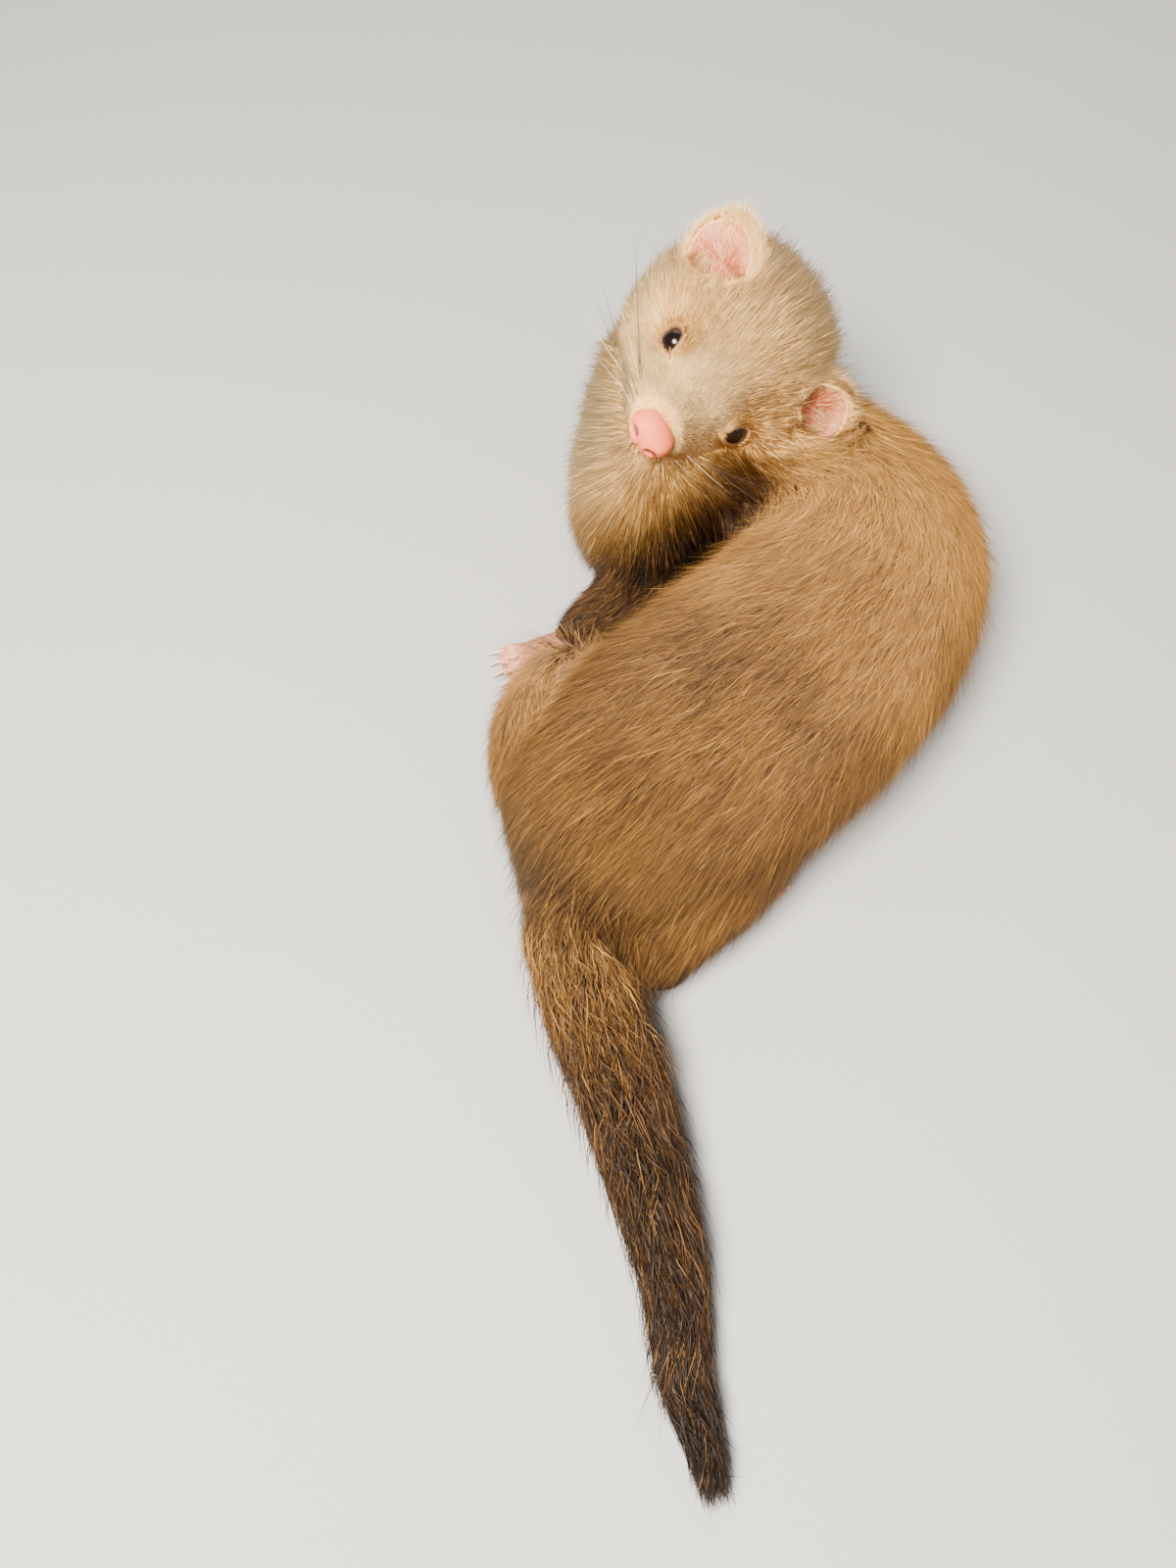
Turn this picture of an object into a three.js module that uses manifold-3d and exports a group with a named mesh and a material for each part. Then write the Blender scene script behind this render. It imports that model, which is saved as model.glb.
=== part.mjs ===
// A life-size ferret, curled to its left on the floor with its head raised and turned back.
// Millimetres, +Z up. The origin is on the floor, under the loin; the tail points along -Y.
// Every surface is the outside of the coat, as it lies on the animal.

import * as THREE from "three";
import { mergeVertices } from "three/addons/utils/BufferGeometryUtils.js";
import Module from "manifold-3d";

const wasm = await Module();
wasm.setup();

const at = (x, y, z) => new THREE.Vector3(x, y, z);

// Driving dimensions

const GAP = 0.3; // space kept between touching pieces
const BODY_CELL = 9; // grid of the trunk's surface
const CUT_REACH = 62; // half the side of the slab that parts two lengths

// Each station of the trunk: the middle of the body, half its width and half its height
const TRUNK = {
  rump: { p: at(-38, -32, 26), w: 22, h: 24 },
  hips: { p: at(-31, -24, 30), w: 32, h: 31 },
  loin: { p: at(-12, -6, 33), w: 41, h: 34 },
  belly: { p: at(12, 16, 34), w: 43, h: 34 },
  ribs: { p: at(34, 38, 34), w: 41, h: 34 },
  bend: { p: at(49, 60, 34), w: 37, h: 34 },
  withers: { p: at(50, 82, 33), w: 32.5, h: 33 },
  shoulders: { p: at(38, 101, 32), w: 29, h: 31.5 },
  neckRoot: { p: at(22, 113, 34), w: 29, h: 31 },
  neckTurn: { p: at(6, 118, 39), w: 32, h: 32 },
};
const HIND_TRUNK = ["rump", "hips", "loin", "belly", "ribs", "bend", "withers"];
const FORE_TRUNK = ["bend", "withers", "shoulders", "neckRoot", "neckTurn"];
const FORE_START = { p: TRUNK.ribs.p, w: 37, h: 31 }; // lies inside the ribs
const CHEST = { p: at(-6, 103, 33), r: at(34, 32, 33) };
const BREAST = { p: at(-17, 93, 25), r: at(25, 25, 24) };
const NECK = [
  { p: at(0, 118, 45), w: 36, h: 32 },
  { p: at(0, 121, 53), w: 34, h: 30 },
  { p: at(4, 125.5, 60), w: 30, h: 28 },
];
const NECK_CUT = { p: at(4, 119, 48), axis: at(-0.1, 0.1, 1) }; // parts neck and chest
const CHEST_CUT = { p: at(38, 108, 35), axis: at(-0.8, 0.6, 0) }; // parts chest and shoulders

// The tail lies on the floor from its root to its tip
const TAIL = [
  { p: at(-41, -41, 25), w: 15, h: 15 },
  { p: at(-37, -57, 18), w: 14.6, h: 14.5 },
  { p: at(-32, -71, 14), w: 14.6, h: 13.4 },
  { p: at(-27, -84, 12), w: 14, h: 12 },
  { p: at(-20, -108, 9.6), w: 11.8, h: 9.8 },
  { p: at(-14, -131, 7.6), w: 9.4, h: 7.8 },
  { p: at(-12.5, -152, 6.1), w: 7.3, h: 6.2 },
  { p: at(-9, -163, 5), w: 6, h: 5.3 },
  { p: at(-7.6, -169, 4.3), w: 4.6, h: 4.4 },
];
const TAIL_AROUND = 14;
const TAIL_PARTS = [0.36, 0.7]; // where the tail is parted, as shares of its length

// The head's own frame: +X out of the nose, +Y to its left, +Z out of its crown, origin at the nose tip
const NOSE_TIP = at(-19.3, 79.7, 72.5);
const HEAD_FORWARD = at(-0.6003, -0.7994, 0.0232);
const HEAD_UP = at(0.5416, -0.385, 0.7473);
const HEAD_PARTS = [
  { p: at(-51, 0, 0), r: at(27.5, 31, 26) }, // cranium
  { p: at(-34, 0, 3), r: at(17, 17, 13) }, // forehead
  { p: at(-20, 0, 0.5), r: at(13, 9.5, 7.5) }, // bridge of the nose
  { p: at(-14.5, 0, -2.4), r: at(12, 8.8, 7) }, // muzzle
  { p: at(-25, 0, -9.5), r: at(16, 10.5, 7) }, // jaw
  { p: at(-10.5, 0, -8.4), r: at(5.6, 5, 3.2) }, // chin
  { p: at(-60, 0, -9), r: at(18, 29.5, 24.5) }, // nape
];
// The same on each side, given for the left
const HEAD_SIDE_PARTS = [
  { p: at(-37, 16.5, -7), r: at(18, 14.5, 14) }, // cheek
  { p: at(-23, 9, -4.5), r: at(11.5, 9.5, 9) }, // side of the face
  { p: at(-9.5, 4.6, -3.2), r: at(6.6, 4.8, 4.6) }, // whisker pad
  { p: at(-29, 8, 7), r: at(9, 6, 5) }, // brow
  { p: at(-39, 20, 2), r: at(14.5, 12.5, 12.5) }, // temple
];
const HEAD_BLEND = 7;
const HEAD_RINGS = 20;
const HEAD_AROUND = 30;

// Eyes: the ball's radius, how deep its middle lies under the face, and the way out to it from the axis
const EYE = { r: 4.7, sunk: 3, x: -21.6, z: 2.5, out: at(0, 1, 0.34) };
const LID = { ring: 3.8, thick: 0.8 };

// Nose leather
const NOSE = { p: at(-2.4, 0, 0.6), r: at(4.4, 6.3, 4.9) };
const NOSTRIL = { p: at(0.4, 4.3, -1.2), r: at(2.4, 1.1, 1.5) };

// Mouth: points of the line of the lips on the head's left, as places along the axis and angles down
const MOUTH_LINE = [[-5, 90], [-7.5, 58], [-12, 40], [-17, 32], [-22, 29]];
const MOUTH_OPEN = 1.4; // half the height of the groove, outside the lips
const MOUTH_DEEP = 2.2;

// Ears
const EAR = { r: at(5.6, 12, 12.5), wall: 1.7, hollow: 3.6 };
const EAR_DIP = { out: 3, up: 2.5, r: at(7.6, 11.4, 11.4) };
// Each ear's middle, the way its cup opens and the way it stands up
const EARS = {
  left: { p: at(-48.3, 26.8, 10.6), out: at(0.75, 0.3, 0.6), up: at(-0.74, 0.45, 0.54) },
  right: { p: at(-49.5, -22.5, 11), out: at(0.81, -0.45, 0.37), up: at(-0.59, -0.64, 0.5) },
};

// Hind legs: stations along thigh and shank, as the middle and the radius
const HIND_LEG = {
  right: [
    { p: at(16, -8, 20), w: 16, h: 18 },
    { p: at(4, -21, 20), w: 21, h: 21 },
    { p: at(-8, -36, 19), w: 19, h: 20 },
    { p: at(-17, -48, 16), w: 14, h: 17 },
  ],
  left: [
    { p: at(-40, -20, 23), w: 16, h: 20 },
    { p: at(-43, -3, 24), w: 21, h: 25 },
    { p: at(-43, 14, 23), w: 22, h: 25 },
    { p: at(-40, 28, 20), w: 18, h: 21.5 },
  ],
};
const FORE_LEG = {
  left: [
    { p: at(-8, 78, 20), w: 12, h: 13 },
    { p: at(-24, 70, 13), w: 10, h: 11 },
    { p: at(-38, 62, 8.2), w: 8, h: 8.2 },
    { p: at(-43, 59, 6.6), w: 6.5, h: 6.6 },
  ],
  right: [
    { p: at(10, 134, 17), w: 13, h: 14 },
    { p: at(-1, 130, 12), w: 11, h: 12 },
    { p: at(-11, 124, 8.2), w: 8.4, h: 8.4 },
    { p: at(-15, 121, 6.6), w: 6.5, h: 6.5 },
  ],
};
// Feet: where the heel is, the way the toes point in degrees from +X, and the length to the claw roots
const FOOT = {
  hind_right: { heel: at(-19, -51, 0), turn: 44, long: 50, wide: 17, high: 11 },
  hind_left: { heel: at(-50, -19, 0), turn: 84, long: 48, wide: 17, high: 11 },
  fore_left: { heel: at(-43, 58.5, 0), turn: 207, long: 21, wide: 14, high: 9 },
  fore_right: { heel: at(-15, 121, 0), turn: 205, long: 21, wide: 14, high: 9 },
};
const TOE_COUNT = 5;
const CLAW_LONG = 5.5;
const FOOT_ROOM = 0.6; // how far the coat above a foot stands clear of it

// Fields: below zero inside, above zero outside, near the surface about the distance to it

const blend = (a, b, k) => {
  const h = Math.max(k - Math.abs(a - b), 0) / k;
  return Math.min(a, b) - (h * h * k) / 4;
};

function ovalField({ p, r, axes }) {
  const q = at(0, 0, 0);
  const turn = axes ? new THREE.Matrix3().setFromMatrix4(axes).transpose() : null;
  return (v) => {
    q.copy(v).sub(p);
    if (turn) q.applyMatrix3(turn);
    const near = Math.hypot(q.x / r.x, q.y / r.y, q.z / r.z);
    const steep = Math.hypot(q.x / (r.x * r.x), q.y / (r.y * r.y), q.z / (r.z * r.z));
    return steep < 1e-9 ? -Math.min(r.x, r.y, r.z) : (near * (near - 1)) / steep;
  };
}

// Axes of a section: its normal, its level side way and the way that is left
function sectionAxes(forward, upHint = at(0, 0, 1)) {
  const f = forward.clone().normalize();
  const side = upHint.clone().cross(f).normalize();
  return new THREE.Matrix4().makeBasis(f, side, f.clone().cross(side));
}

// A row of stations as one smooth run: place, direction, half width and half height at any share of it
function runOf(stations) {
  const path = new THREE.CatmullRomCurve3(stations.map((s) => s.p), false, "centripetal");
  const last = stations.length - 1;
  const size = (key, t) => {
    const i = Math.min(Math.floor(t * last), last - 1);
    const pick = (j) => stations[Math.min(Math.max(j, 0), last)][key];
    const [a, b, c, d] = [pick(i - 1), pick(i), pick(i + 1), pick(i + 2)];
    const u = t * last - i;
    return b + 0.5 * u * (c - a + u * (2 * a - 5 * b + 4 * c - d + u * (3 * (b - c) + d - a)));
  };
  return (t) => ({ p: path.getPoint(t), dir: path.getTangent(t), w: size("w", t), h: size("h", t) });
}

// Flesh along a run: many ovals close together, each as wide and as high as the run is there
function runField(stations, count, upHint) {
  const run = runOf(stations);
  const ovals = [];
  for (let i = 0; i <= count; i += 1) {
    const s = run(i / count);
    const r = at(0.7 * Math.min(s.w, s.h), s.w, s.h);
    ovals.push(ovalField({ p: s.p, r, axes: sectionAxes(s.dir, upHint) }));
  }
  return (v) => ovals.reduce((least, oval) => Math.min(least, oval(v)), Infinity);
}

const mixed = (fields, k) => (v) => fields.reduce((sum, field) => blend(sum, field(v), k), 1e3);

function slopeOf(field, v) {
  const e = 0.05;
  return at(
    field(at(v.x + e, v.y, v.z)) - field(at(v.x - e, v.y, v.z)),
    field(at(v.x, v.y + e, v.z)) - field(at(v.x, v.y - e, v.z)),
    field(at(v.x, v.y, v.z + e)) - field(at(v.x, v.y, v.z - e)),
  ).divideScalar(2 * e);
}

// Moves a point along the field's slope until it lies on the surface at the given level
function settle(v, field, level, most) {
  const start = v.clone();
  for (let pass = 0; pass < 3; pass += 1) {
    const d = field(v) - level;
    const slope = slopeOf(field, v);
    v.addScaledVector(slope, -d / Math.max(slope.lengthSq(), 0.05));
    const moved = v.clone().sub(start);
    if (moved.length() > most) v.copy(start).add(moved.setLength(most));
  }
  return v;
}

function geometryOf(points, faces) {
  const geometry = new THREE.BufferGeometry();
  geometry.setAttribute("position", new THREE.Float32BufferAttribute(points.flatMap((v) => v.toArray()), 3));
  geometry.setIndex(faces.flat());
  return geometry;
}

// Surface of a field on a cubic grid: one point in each cell that it crosses, one quad at each crossed edge
function skinOf(field, low, high, cell, level = 0) {
  const n = high.clone().sub(low).divideScalar(cell).ceil().addScalar(1);
  const slot = (i, j, k) => i + n.x * (j + n.y * k);
  const place = (i, j, k) => at(low.x + i * cell, low.y + j * cell, low.z + k * cell);
  const value = new Float32Array(n.x * n.y * n.z);
  for (let k = 0; k < n.z; k += 1)
    for (let j = 0; j < n.y; j += 1)
      for (let i = 0; i < n.x; i += 1) value[slot(i, j, k)] = field(place(i, j, k)) - level;
  const points = [];
  const pointOf = new Map();
  const corners = [0, 1, 2, 3, 4, 5, 6, 7].map((c) => [c & 1, (c >> 1) & 1, c >> 2]);
  for (let k = 0; k < n.z - 1; k += 1)
    for (let j = 0; j < n.y - 1; j += 1)
      for (let i = 0; i < n.x - 1; i += 1) {
        const mean = at(0, 0, 0);
        let crossed = 0;
        corners.forEach(([a, b, c], from) => {
          [1, 2, 4].filter((bit) => !(from & bit)).forEach((bit) => {
            const [d, e, f] = corners[from | bit];
            const v0 = value[slot(i + a, j + b, k + c)];
            const v1 = value[slot(i + d, j + e, k + f)];
            if (v0 < 0 === v1 < 0) return;
            mean.add(place(i + a, j + b, k + c).lerp(place(i + d, j + e, k + f), v0 / (v0 - v1)));
            crossed += 1;
          });
        });
        if (!crossed) continue;
        pointOf.set(slot(i, j, k), points.length);
        points.push(settle(mean.divideScalar(crossed), field, level, 0.8 * cell));
      }
  const faces = [];
  const steps = [at(1, 0, 0), at(0, 1, 0), at(0, 0, 1)];
  for (let k = 1; k < n.z - 1; k += 1)
    for (let j = 1; j < n.y - 1; j += 1)
      for (let i = 1; i < n.x - 1; i += 1)
        steps.forEach((step, axis) => {
          const inside = value[slot(i, j, k)] < 0;
          if (inside === value[slot(i + step.x, j + step.y, k + step.z)] < 0) return;
          const u = steps[(axis + 1) % 3];
          const w = steps[(axis + 2) % 3];
          const ring = [[0, 0], [1, 0], [1, 1], [0, 1]].map(([a, b]) =>
            pointOf.get(slot(i - a * u.x - b * w.x, j - a * u.y - b * w.y, k - a * u.z - b * w.z)));
          const [p, q, r, s] = inside ? ring : ring.reverse();
          const near = points[p].distanceTo(points[r]) < points[q].distanceTo(points[s]);
          faces.push(...(near ? [[p, q, r], [p, r, s]] : [[q, r, s], [q, s, p]]));
        });
  return solidOf(geometryOf(points, faces));
}

// Solids: closed bodies that can be joined and cut

function solidOf(geometry) {
  const bare = geometry.clone();
  ["normal", "uv"].forEach((name) => bare.deleteAttribute(name));
  const merged = mergeVertices(bare, 1e-5);
  return new wasm.Manifold(new wasm.Mesh({
    numProp: 3,
    vertProperties: new Float32Array(merged.attributes.position.array),
    triVerts: new Uint32Array(merged.index.array),
  }));
}

function largest(solid) {
  return solid.decompose().sort((a, b) => b.volume() - a.volume())[0];
}

// A tube of oval rings along a run, with a rounded cap at each end that is a share of its radius long
function tubeOf(stations, around, along, caps = [0.6, 0.6], capSteps = [0.35, 0.75, 1.15]) {
  const run = runOf(stations);
  const rings = [];
  const addRing = (t, grow, push) => {
    const s = run(t);
    const axes = sectionAxes(s.dir);
    const middle = s.p.clone().addScaledVector(s.dir, push * Math.min(s.w, s.h));
    rings.push({ middle, axes, w: s.w * grow, h: s.h * grow });
  };
  capSteps.forEach((a) => addRing(0, Math.sin(a), -caps[0] * Math.cos(a)));
  for (let i = 0; i <= along; i += 1) addRing(i / along, 1, 0);
  [...capSteps].reverse().forEach((a) => addRing(1, Math.sin(a), caps[1] * Math.cos(a)));
  const points = rings.flatMap(({ middle, axes, w, h }) =>
    Array.from({ length: around }, (_, j) => {
      const a = (2 * Math.PI * j) / around;
      return at(0, w * Math.cos(a), h * Math.sin(a)).applyMatrix4(axes).add(middle);
    }));
  const poles = [0, 1].map((end) => {
    const s = run(end);
    return s.p.clone().addScaledVector(s.dir, (end ? caps[1] : -caps[0]) * Math.min(s.w, s.h));
  });
  return closedRings(points, rings.length, around, poles);
}

// Joins equal rings of points into a closed body with a point at each end
function closedRings(points, ringCount, around, poles) {
  const faces = [];
  const all = [...points, ...poles];
  const first = points.length;
  const last = (ringCount - 1) * around;
  for (let j = 0; j < around; j += 1) {
    const next = (j + 1) % around;
    for (let i = 0; i < last; i += around) {
      faces.push([i + j, i + next, i + around + next], [i + j, i + around + next, i + around + j]);
    }
    faces.push([first, next, j], [first + 1, last + j, last + next]);
  }
  return solidOf(geometryOf(all, faces));
}

function ovalSolid({ p, r }, around = 20, axes = new THREE.Matrix4()) {
  const ball = new THREE.SphereGeometry(1, around, Math.ceil(around * 0.6));
  ball.scale(r.x, r.y, r.z).applyMatrix4(axes).translate(p.x, p.y, p.z);
  return solidOf(ball);
}

function boxSolid(size, p, axes = new THREE.Matrix4()) {
  return solidOf(new THREE.BoxGeometry(size.x, size.y, size.z).applyMatrix4(axes).translate(p.x, p.y, p.z));
}

// A thin slab across the body, square to the given direction
function slabAt(p, direction, reach = CUT_REACH, thick = GAP) {
  return boxSolid(at(thick, 2 * reach, 2 * reach), p, sectionAxes(direction));
}

// A box ahead of a plane, as long as the reach and as far out to each side as given
function aheadOf(p, direction, reach, side) {
  const middle = p.clone().addScaledVector(direction.clone().normalize(), reach / 2);
  return boxSolid(at(reach, 2 * side, 4 * side), middle, sectionAxes(direction));
}

const FLOOR = boxSolid(at(600, 600, 60), at(0, 0, -30));

// The head's frame in the ferret's frame

const headAxes = new THREE.Matrix4().makeBasis(
  HEAD_FORWARD.clone().normalize(),
  HEAD_UP.clone().cross(HEAD_FORWARD).normalize(),
  HEAD_FORWARD.clone().cross(HEAD_UP.clone().cross(HEAD_FORWARD)).normalize(),
);
const headPlace = headAxes.clone().setPosition(NOSE_TIP);
const mirrored = (v, side) => at(v.x, v.y * side, v.z);

// Fields of the flesh

const stationsOf = (names) => names.map((name) => TRUNK[name]);
const hindField = runField(stationsOf(HIND_TRUNK), 56);
const foreField = mixed([
  runField([FORE_START, ...stationsOf(FORE_TRUNK)], 56),
  ovalField(CHEST),
  ovalField(BREAST),
  runField(NECK, 12, at(0, 1, 0)),
], 12);
const sideParts = [1, -1].flatMap((side) =>
  HEAD_SIDE_PARTS.map(({ p, r }) => ({ p: mirrored(p, side), r })));
const skullField = mixed([...HEAD_PARTS, ...sideParts].map(ovalField), HEAD_BLEND);

// Head, wrapped round its axis: rings close together at the muzzle and wider apart at the back

// Where a ray from inside the head leaves it
function rayHit(from, dir, level = 0) {
  const point = (d) => from.clone().addScaledVector(dir, d);
  let outer = 1;
  while (skullField(point(outer)) < level) outer += 1;
  let inner = outer - 1;
  for (let pass = 0; pass < 12; pass += 1) {
    const middle = (inner + outer) / 2;
    if (skullField(point(middle)) < level) inner = middle;
    else outer = middle;
  }
  return point(inner);
}

function headWrap(level = 0) {
  const middle = (t) => at(-5.5 - 54 * t ** 1.25, 0, -3 - 4 * t);
  const fans = [0.4, 0.8, 1.2]; // the rings round each end lean this far out from square to the axis
  const rings = [
    ...[...fans].reverse().map((lean) => ({ from: middle(1), lean: -lean })),
    ...Array.from({ length: HEAD_RINGS }, (_, i) => ({ from: middle(1 - i / (HEAD_RINGS - 1)), lean: 0 })),
    ...fans.map((lean) => ({ from: middle(0), lean })),
  ];
  const points = rings.flatMap(({ from, lean }) => Array.from({ length: HEAD_AROUND }, (_, j) => {
    const a = (2 * Math.PI * j) / HEAD_AROUND;
    const out = Math.cos(lean);
    return rayHit(from, at(Math.sin(lean), out * Math.cos(a), out * Math.sin(a)), level);
  }));
  const poles = [rayHit(middle(1), at(-1, 0, 0), level), rayHit(middle(0), at(1, 0, 0), level)];
  return closedRings(points, rings.length, HEAD_AROUND, poles);
}

function mouthSlit() {
  const half = MOUTH_LINE.map(([x, down]) => {
    const a = (-down * Math.PI) / 180;
    return rayHit(at(x, 0, -3), at(0, Math.cos(a), Math.sin(a)));
  });
  const lips = [...half.slice(1).reverse().map((v) => mirrored(v, -1)), ...half];
  const path = new THREE.CatmullRomCurve3(lips);
  const steps = 24;
  const section = (t) => {
    const p = path.getPoint(t);
    const out = at(0.25, p.y, 0).normalize();
    if (Math.abs(p.y) < 2.5) out.set(1, 0, 0).lerp(at(0.4, Math.sign(p.y), 0), Math.abs(p.y) / 5).normalize();
    const inner = p.clone().addScaledVector(out, -MOUTH_DEEP);
    const outer = p.clone().addScaledVector(out, 3);
    return [[inner, 0.1], [outer, MOUTH_OPEN]].flatMap(([v, half]) =>
      [v.clone().add(at(0, 0, -half)), v.clone().add(at(0, 0, half))]);
  };
  const points = [];
  for (let i = 0; i <= steps; i += 1) {
    const [a, b, c, d] = section(i / steps);
    points.push(a, b, d, c);
  }
  const ends = [0, steps].map((i) => points.slice(4 * i, 4 * i + 4)
    .reduce((sum, v) => sum.add(v), at(0, 0, 0)).divideScalar(4));
  return closedRings(points, steps + 1, 4, ends);
}

function nosePad() {
  const pits = [1, -1].map((side) => ovalSolid({ p: mirrored(NOSTRIL.p, side), r: NOSTRIL.r }, 8));
  return ovalSolid(NOSE, 16).subtract(wasm.Manifold.union(pits));
}

// Where an eye breaks the face, and the way that it looks there
function eyeSpot(side) {
  const p = rayHit(at(EYE.x, 0, EYE.z), mirrored(EYE.out, side).normalize());
  return { p, facing: slopeOf(skullField, p).normalize() };
}

// Lids: a ring round the opening, a little longer than high
function lidsOf(side) {
  const { p, facing } = eyeSpot(side);
  const ring = new THREE.TorusGeometry(LID.ring, LID.thick, 5, 14);
  ring.rotateY(Math.PI / 2).scale(1, 1.08, 0.94).applyMatrix4(sectionAxes(facing, at(0.2, 0, 1)));
  return solidOf(ring.translate(p.x, p.y, p.z));
}

function eyeBall(side, grow = 0) {
  const { p, facing } = eyeSpot(side);
  const r = EYE.r + grow;
  return ovalSolid({ p: p.addScaledVector(facing, -EYE.sunk), r: at(r, r, r) }, 12);
}

function earCup({ p, out, up }) {
  const axes = sectionAxes(out, up);
  const hollow = { p: p.clone().addScaledVector(out, EAR.hollow), r: EAR.r.clone().subScalar(EAR.wall) };
  return ovalSolid({ p, r: EAR.r }, 15, axes).subtract(ovalSolid(hollow, 15, axes));
}

// The dip in the coat in front of an ear, where its cup shows
function earDip({ p, out, up }, grow = 0) {
  const middle = p.clone().addScaledVector(out, EAR_DIP.out).addScaledVector(up, EAR_DIP.up);
  return ovalSolid({ p: middle, r: EAR_DIP.r.clone().addScalar(grow) }, 14, sectionAxes(out, up));
}

// Head and its pieces, in the head's own frame
const headBare = headWrap();
const headRoom = headWrap(GAP + 0.1);
const noseSolid = nosePad();
const noseRoom = ovalSolid({ p: NOSE.p, r: NOSE.r.clone().addScalar(GAP) }, 16);
const eyeRoom = wasm.Manifold.union([eyeBall(1, GAP), eyeBall(-1, GAP)]);
const headSolid = wasm.Manifold.union([headBare, lidsOf(1), lidsOf(-1)])
  .subtract(wasm.Manifold.union([eyeRoom, noseRoom, mouthSlit()]));

// Feet

const footPlace = ({ heel, turn }) =>
  new THREE.Matrix4().makeRotationZ((turn * Math.PI) / 180).setPosition(heel).elements;

function palmStations({ long, wide, high }) {
  return [
    { p: at(0, 0, high * 0.5), w: wide * 0.34, h: high * 0.5 },
    { p: at(long * 0.34, 0, high * 0.46), w: wide * 0.42, h: high * 0.48 },
    { p: at(long * 0.66, 0, high * 0.38), w: wide * 0.5, h: high * 0.4 },
  ];
}

// The space that a foot with its toes needs in the legs and the trunk above it
function footRoom(sizes) {
  const { long, wide, high } = sizes;
  const toes = { p: at(long * 0.95, 0, high * 0.32), w: wide * 0.85, h: high * 0.5 };
  const claws = { p: at(long + CLAW_LONG, 0, high * 0.26), w: wide * 0.85, h: high * 0.42 };
  const stations = [...palmStations(sizes), toes, claws]
    .map(({ p, w, h }) => ({ p, w: 1.15 * w + FOOT_ROOM, h: h + FOOT_ROOM }));
  return tubeOf(stations, 12, 6, [0.8, 0.4], [0.5, 1.1]).transform(footPlace(sizes));
}

function footOf(sizes) {
  const { long, wide, high } = sizes;
  const toeLong = long * 0.36;
  const pieces = [tubeOf(palmStations(sizes), 8, 3, [0.6, 0.6], [0.5, 1.1])];
  for (let i = 0; i < TOE_COUNT; i += 1) {
    const s = (i - (TOE_COUNT - 1) / 2) / ((TOE_COUNT - 1) / 2);
    const a = 0.34 * s;
    const reach = toeLong * (1 - 0.22 * s * s);
    const root = at(long * 0.62, s * wide * 0.36, high * 0.34);
    const tip = root.clone().add(at(reach * Math.cos(a), reach * Math.sin(a), -high * 0.08));
    const bulge = root.clone().lerp(tip, 0.55).add(at(0, 0, high * 0.06));
    const r = wide * 0.125;
    pieces.push(tubeOf([{ p: root, w: r, h: r }, { p: bulge, w: r * 1.12, h: r * 1.1 },
      { p: tip, w: r * 0.95, h: r }], 6, 2, [0.3, 0.9], [0.8]));
    const dir = at(Math.cos(a), Math.sin(a), 0);
    const claw = (share, drop) => tip.clone().addScaledVector(dir, CLAW_LONG * share).add(at(0, 0, drop));
    pieces.push(tubeOf([{ p: claw(0, 0.4), w: 1, h: 1.1 }, { p: claw(0.5, 0.2), w: 0.75, h: 0.8 },
      { p: claw(1, -0.9), w: 0.3, h: 0.35 }], 4, 2, [0.5, 0.5], []));
  }
  return wasm.Manifold.union(pieces).transform(footPlace(sizes));
}

// Everything together

const ferret = new THREE.Group();
const coat = (color) => new THREE.MeshStandardMaterial({ color, roughness: 0.85, metalness: 0 });
const skinPink = new THREE.MeshStandardMaterial({ color: 0xe9a08c, roughness: 0.45, metalness: 0 });
const eyeDark = new THREE.MeshStandardMaterial({ color: 0x1a0a0c, roughness: 0.08, metalness: 0 });

function add(name, solid, material) {
  const mesh = largest(solid).getMesh();
  const geometry = new THREE.BufferGeometry();
  geometry.setAttribute("position", new THREE.Float32BufferAttribute(mesh.vertProperties, 3));
  geometry.setIndex(new THREE.Uint32BufferAttribute(mesh.triVerts, 1));
  geometry.computeVertexNormals();
  const piece = new THREE.Mesh(geometry, material);
  piece.name = name;
  ferret.add(piece);
}

const onFloor = (solid) => solid.subtract(FLOOR);
const apart = (solid, others) => solid.subtract(wasm.Manifold.union(others));
const inWorld = (solid) => solid.transform(headPlace.elements);
const between = (a, b, share) => TRUNK[a].p.clone().lerp(TRUNK[b].p, share);
const along = (a, b) => TRUNK[b].p.clone().sub(TRUNK[a].p).normalize();
const middleOf = (solid) => {
  const { min, max } = solid.boundingBox();
  return at((min[0] + max[0]) / 2, (min[1] + max[1]) / 2, (min[2] + max[2]) / 2);
};
const nearest = (pieces, p) =>
  [...pieces].sort((a, b) => middleOf(a).distanceTo(p) - middleOf(b).distanceTo(p))[0];

// Trunk: the hind part and the fore part are parted at the bend, then each into its lengths
const HIND_BOX = [at(-90, -80, -12), at(110, 150, 80)];
const FORE_BOX = [at(-90, -24, -12), at(112, 200, 116)];
const [bendPoint, bendAxis] = [between("ribs", "bend", 0.9), along("ribs", "bend")];
const pastBend = (push) => aheadOf(bendPoint.clone().addScaledVector(bendAxis, push), bendAxis, 110, 50);
const headInWorld = inWorld(headRoom);
const ears = Object.values(EARS);
const earDips = (grow) => inWorld(wasm.Manifold.union(ears.map((ear) => earDip(ear, grow))));
const hindHalf = onFloor(skinOf(hindField, ...HIND_BOX, BODY_CELL)).subtract(pastBend(0));
const hindRoom = skinOf(hindField, ...HIND_BOX, BODY_CELL, GAP + 0.1).subtract(pastBend(GAP));
const foreRoom = skinOf(foreField, ...FORE_BOX, BODY_CELL, GAP + 0.1);
const foreHalf = largest(apart(onFloor(skinOf(foreField, ...FORE_BOX, BODY_CELL)),
  [hindRoom, headInWorld, earDips(GAP)]));
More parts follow.
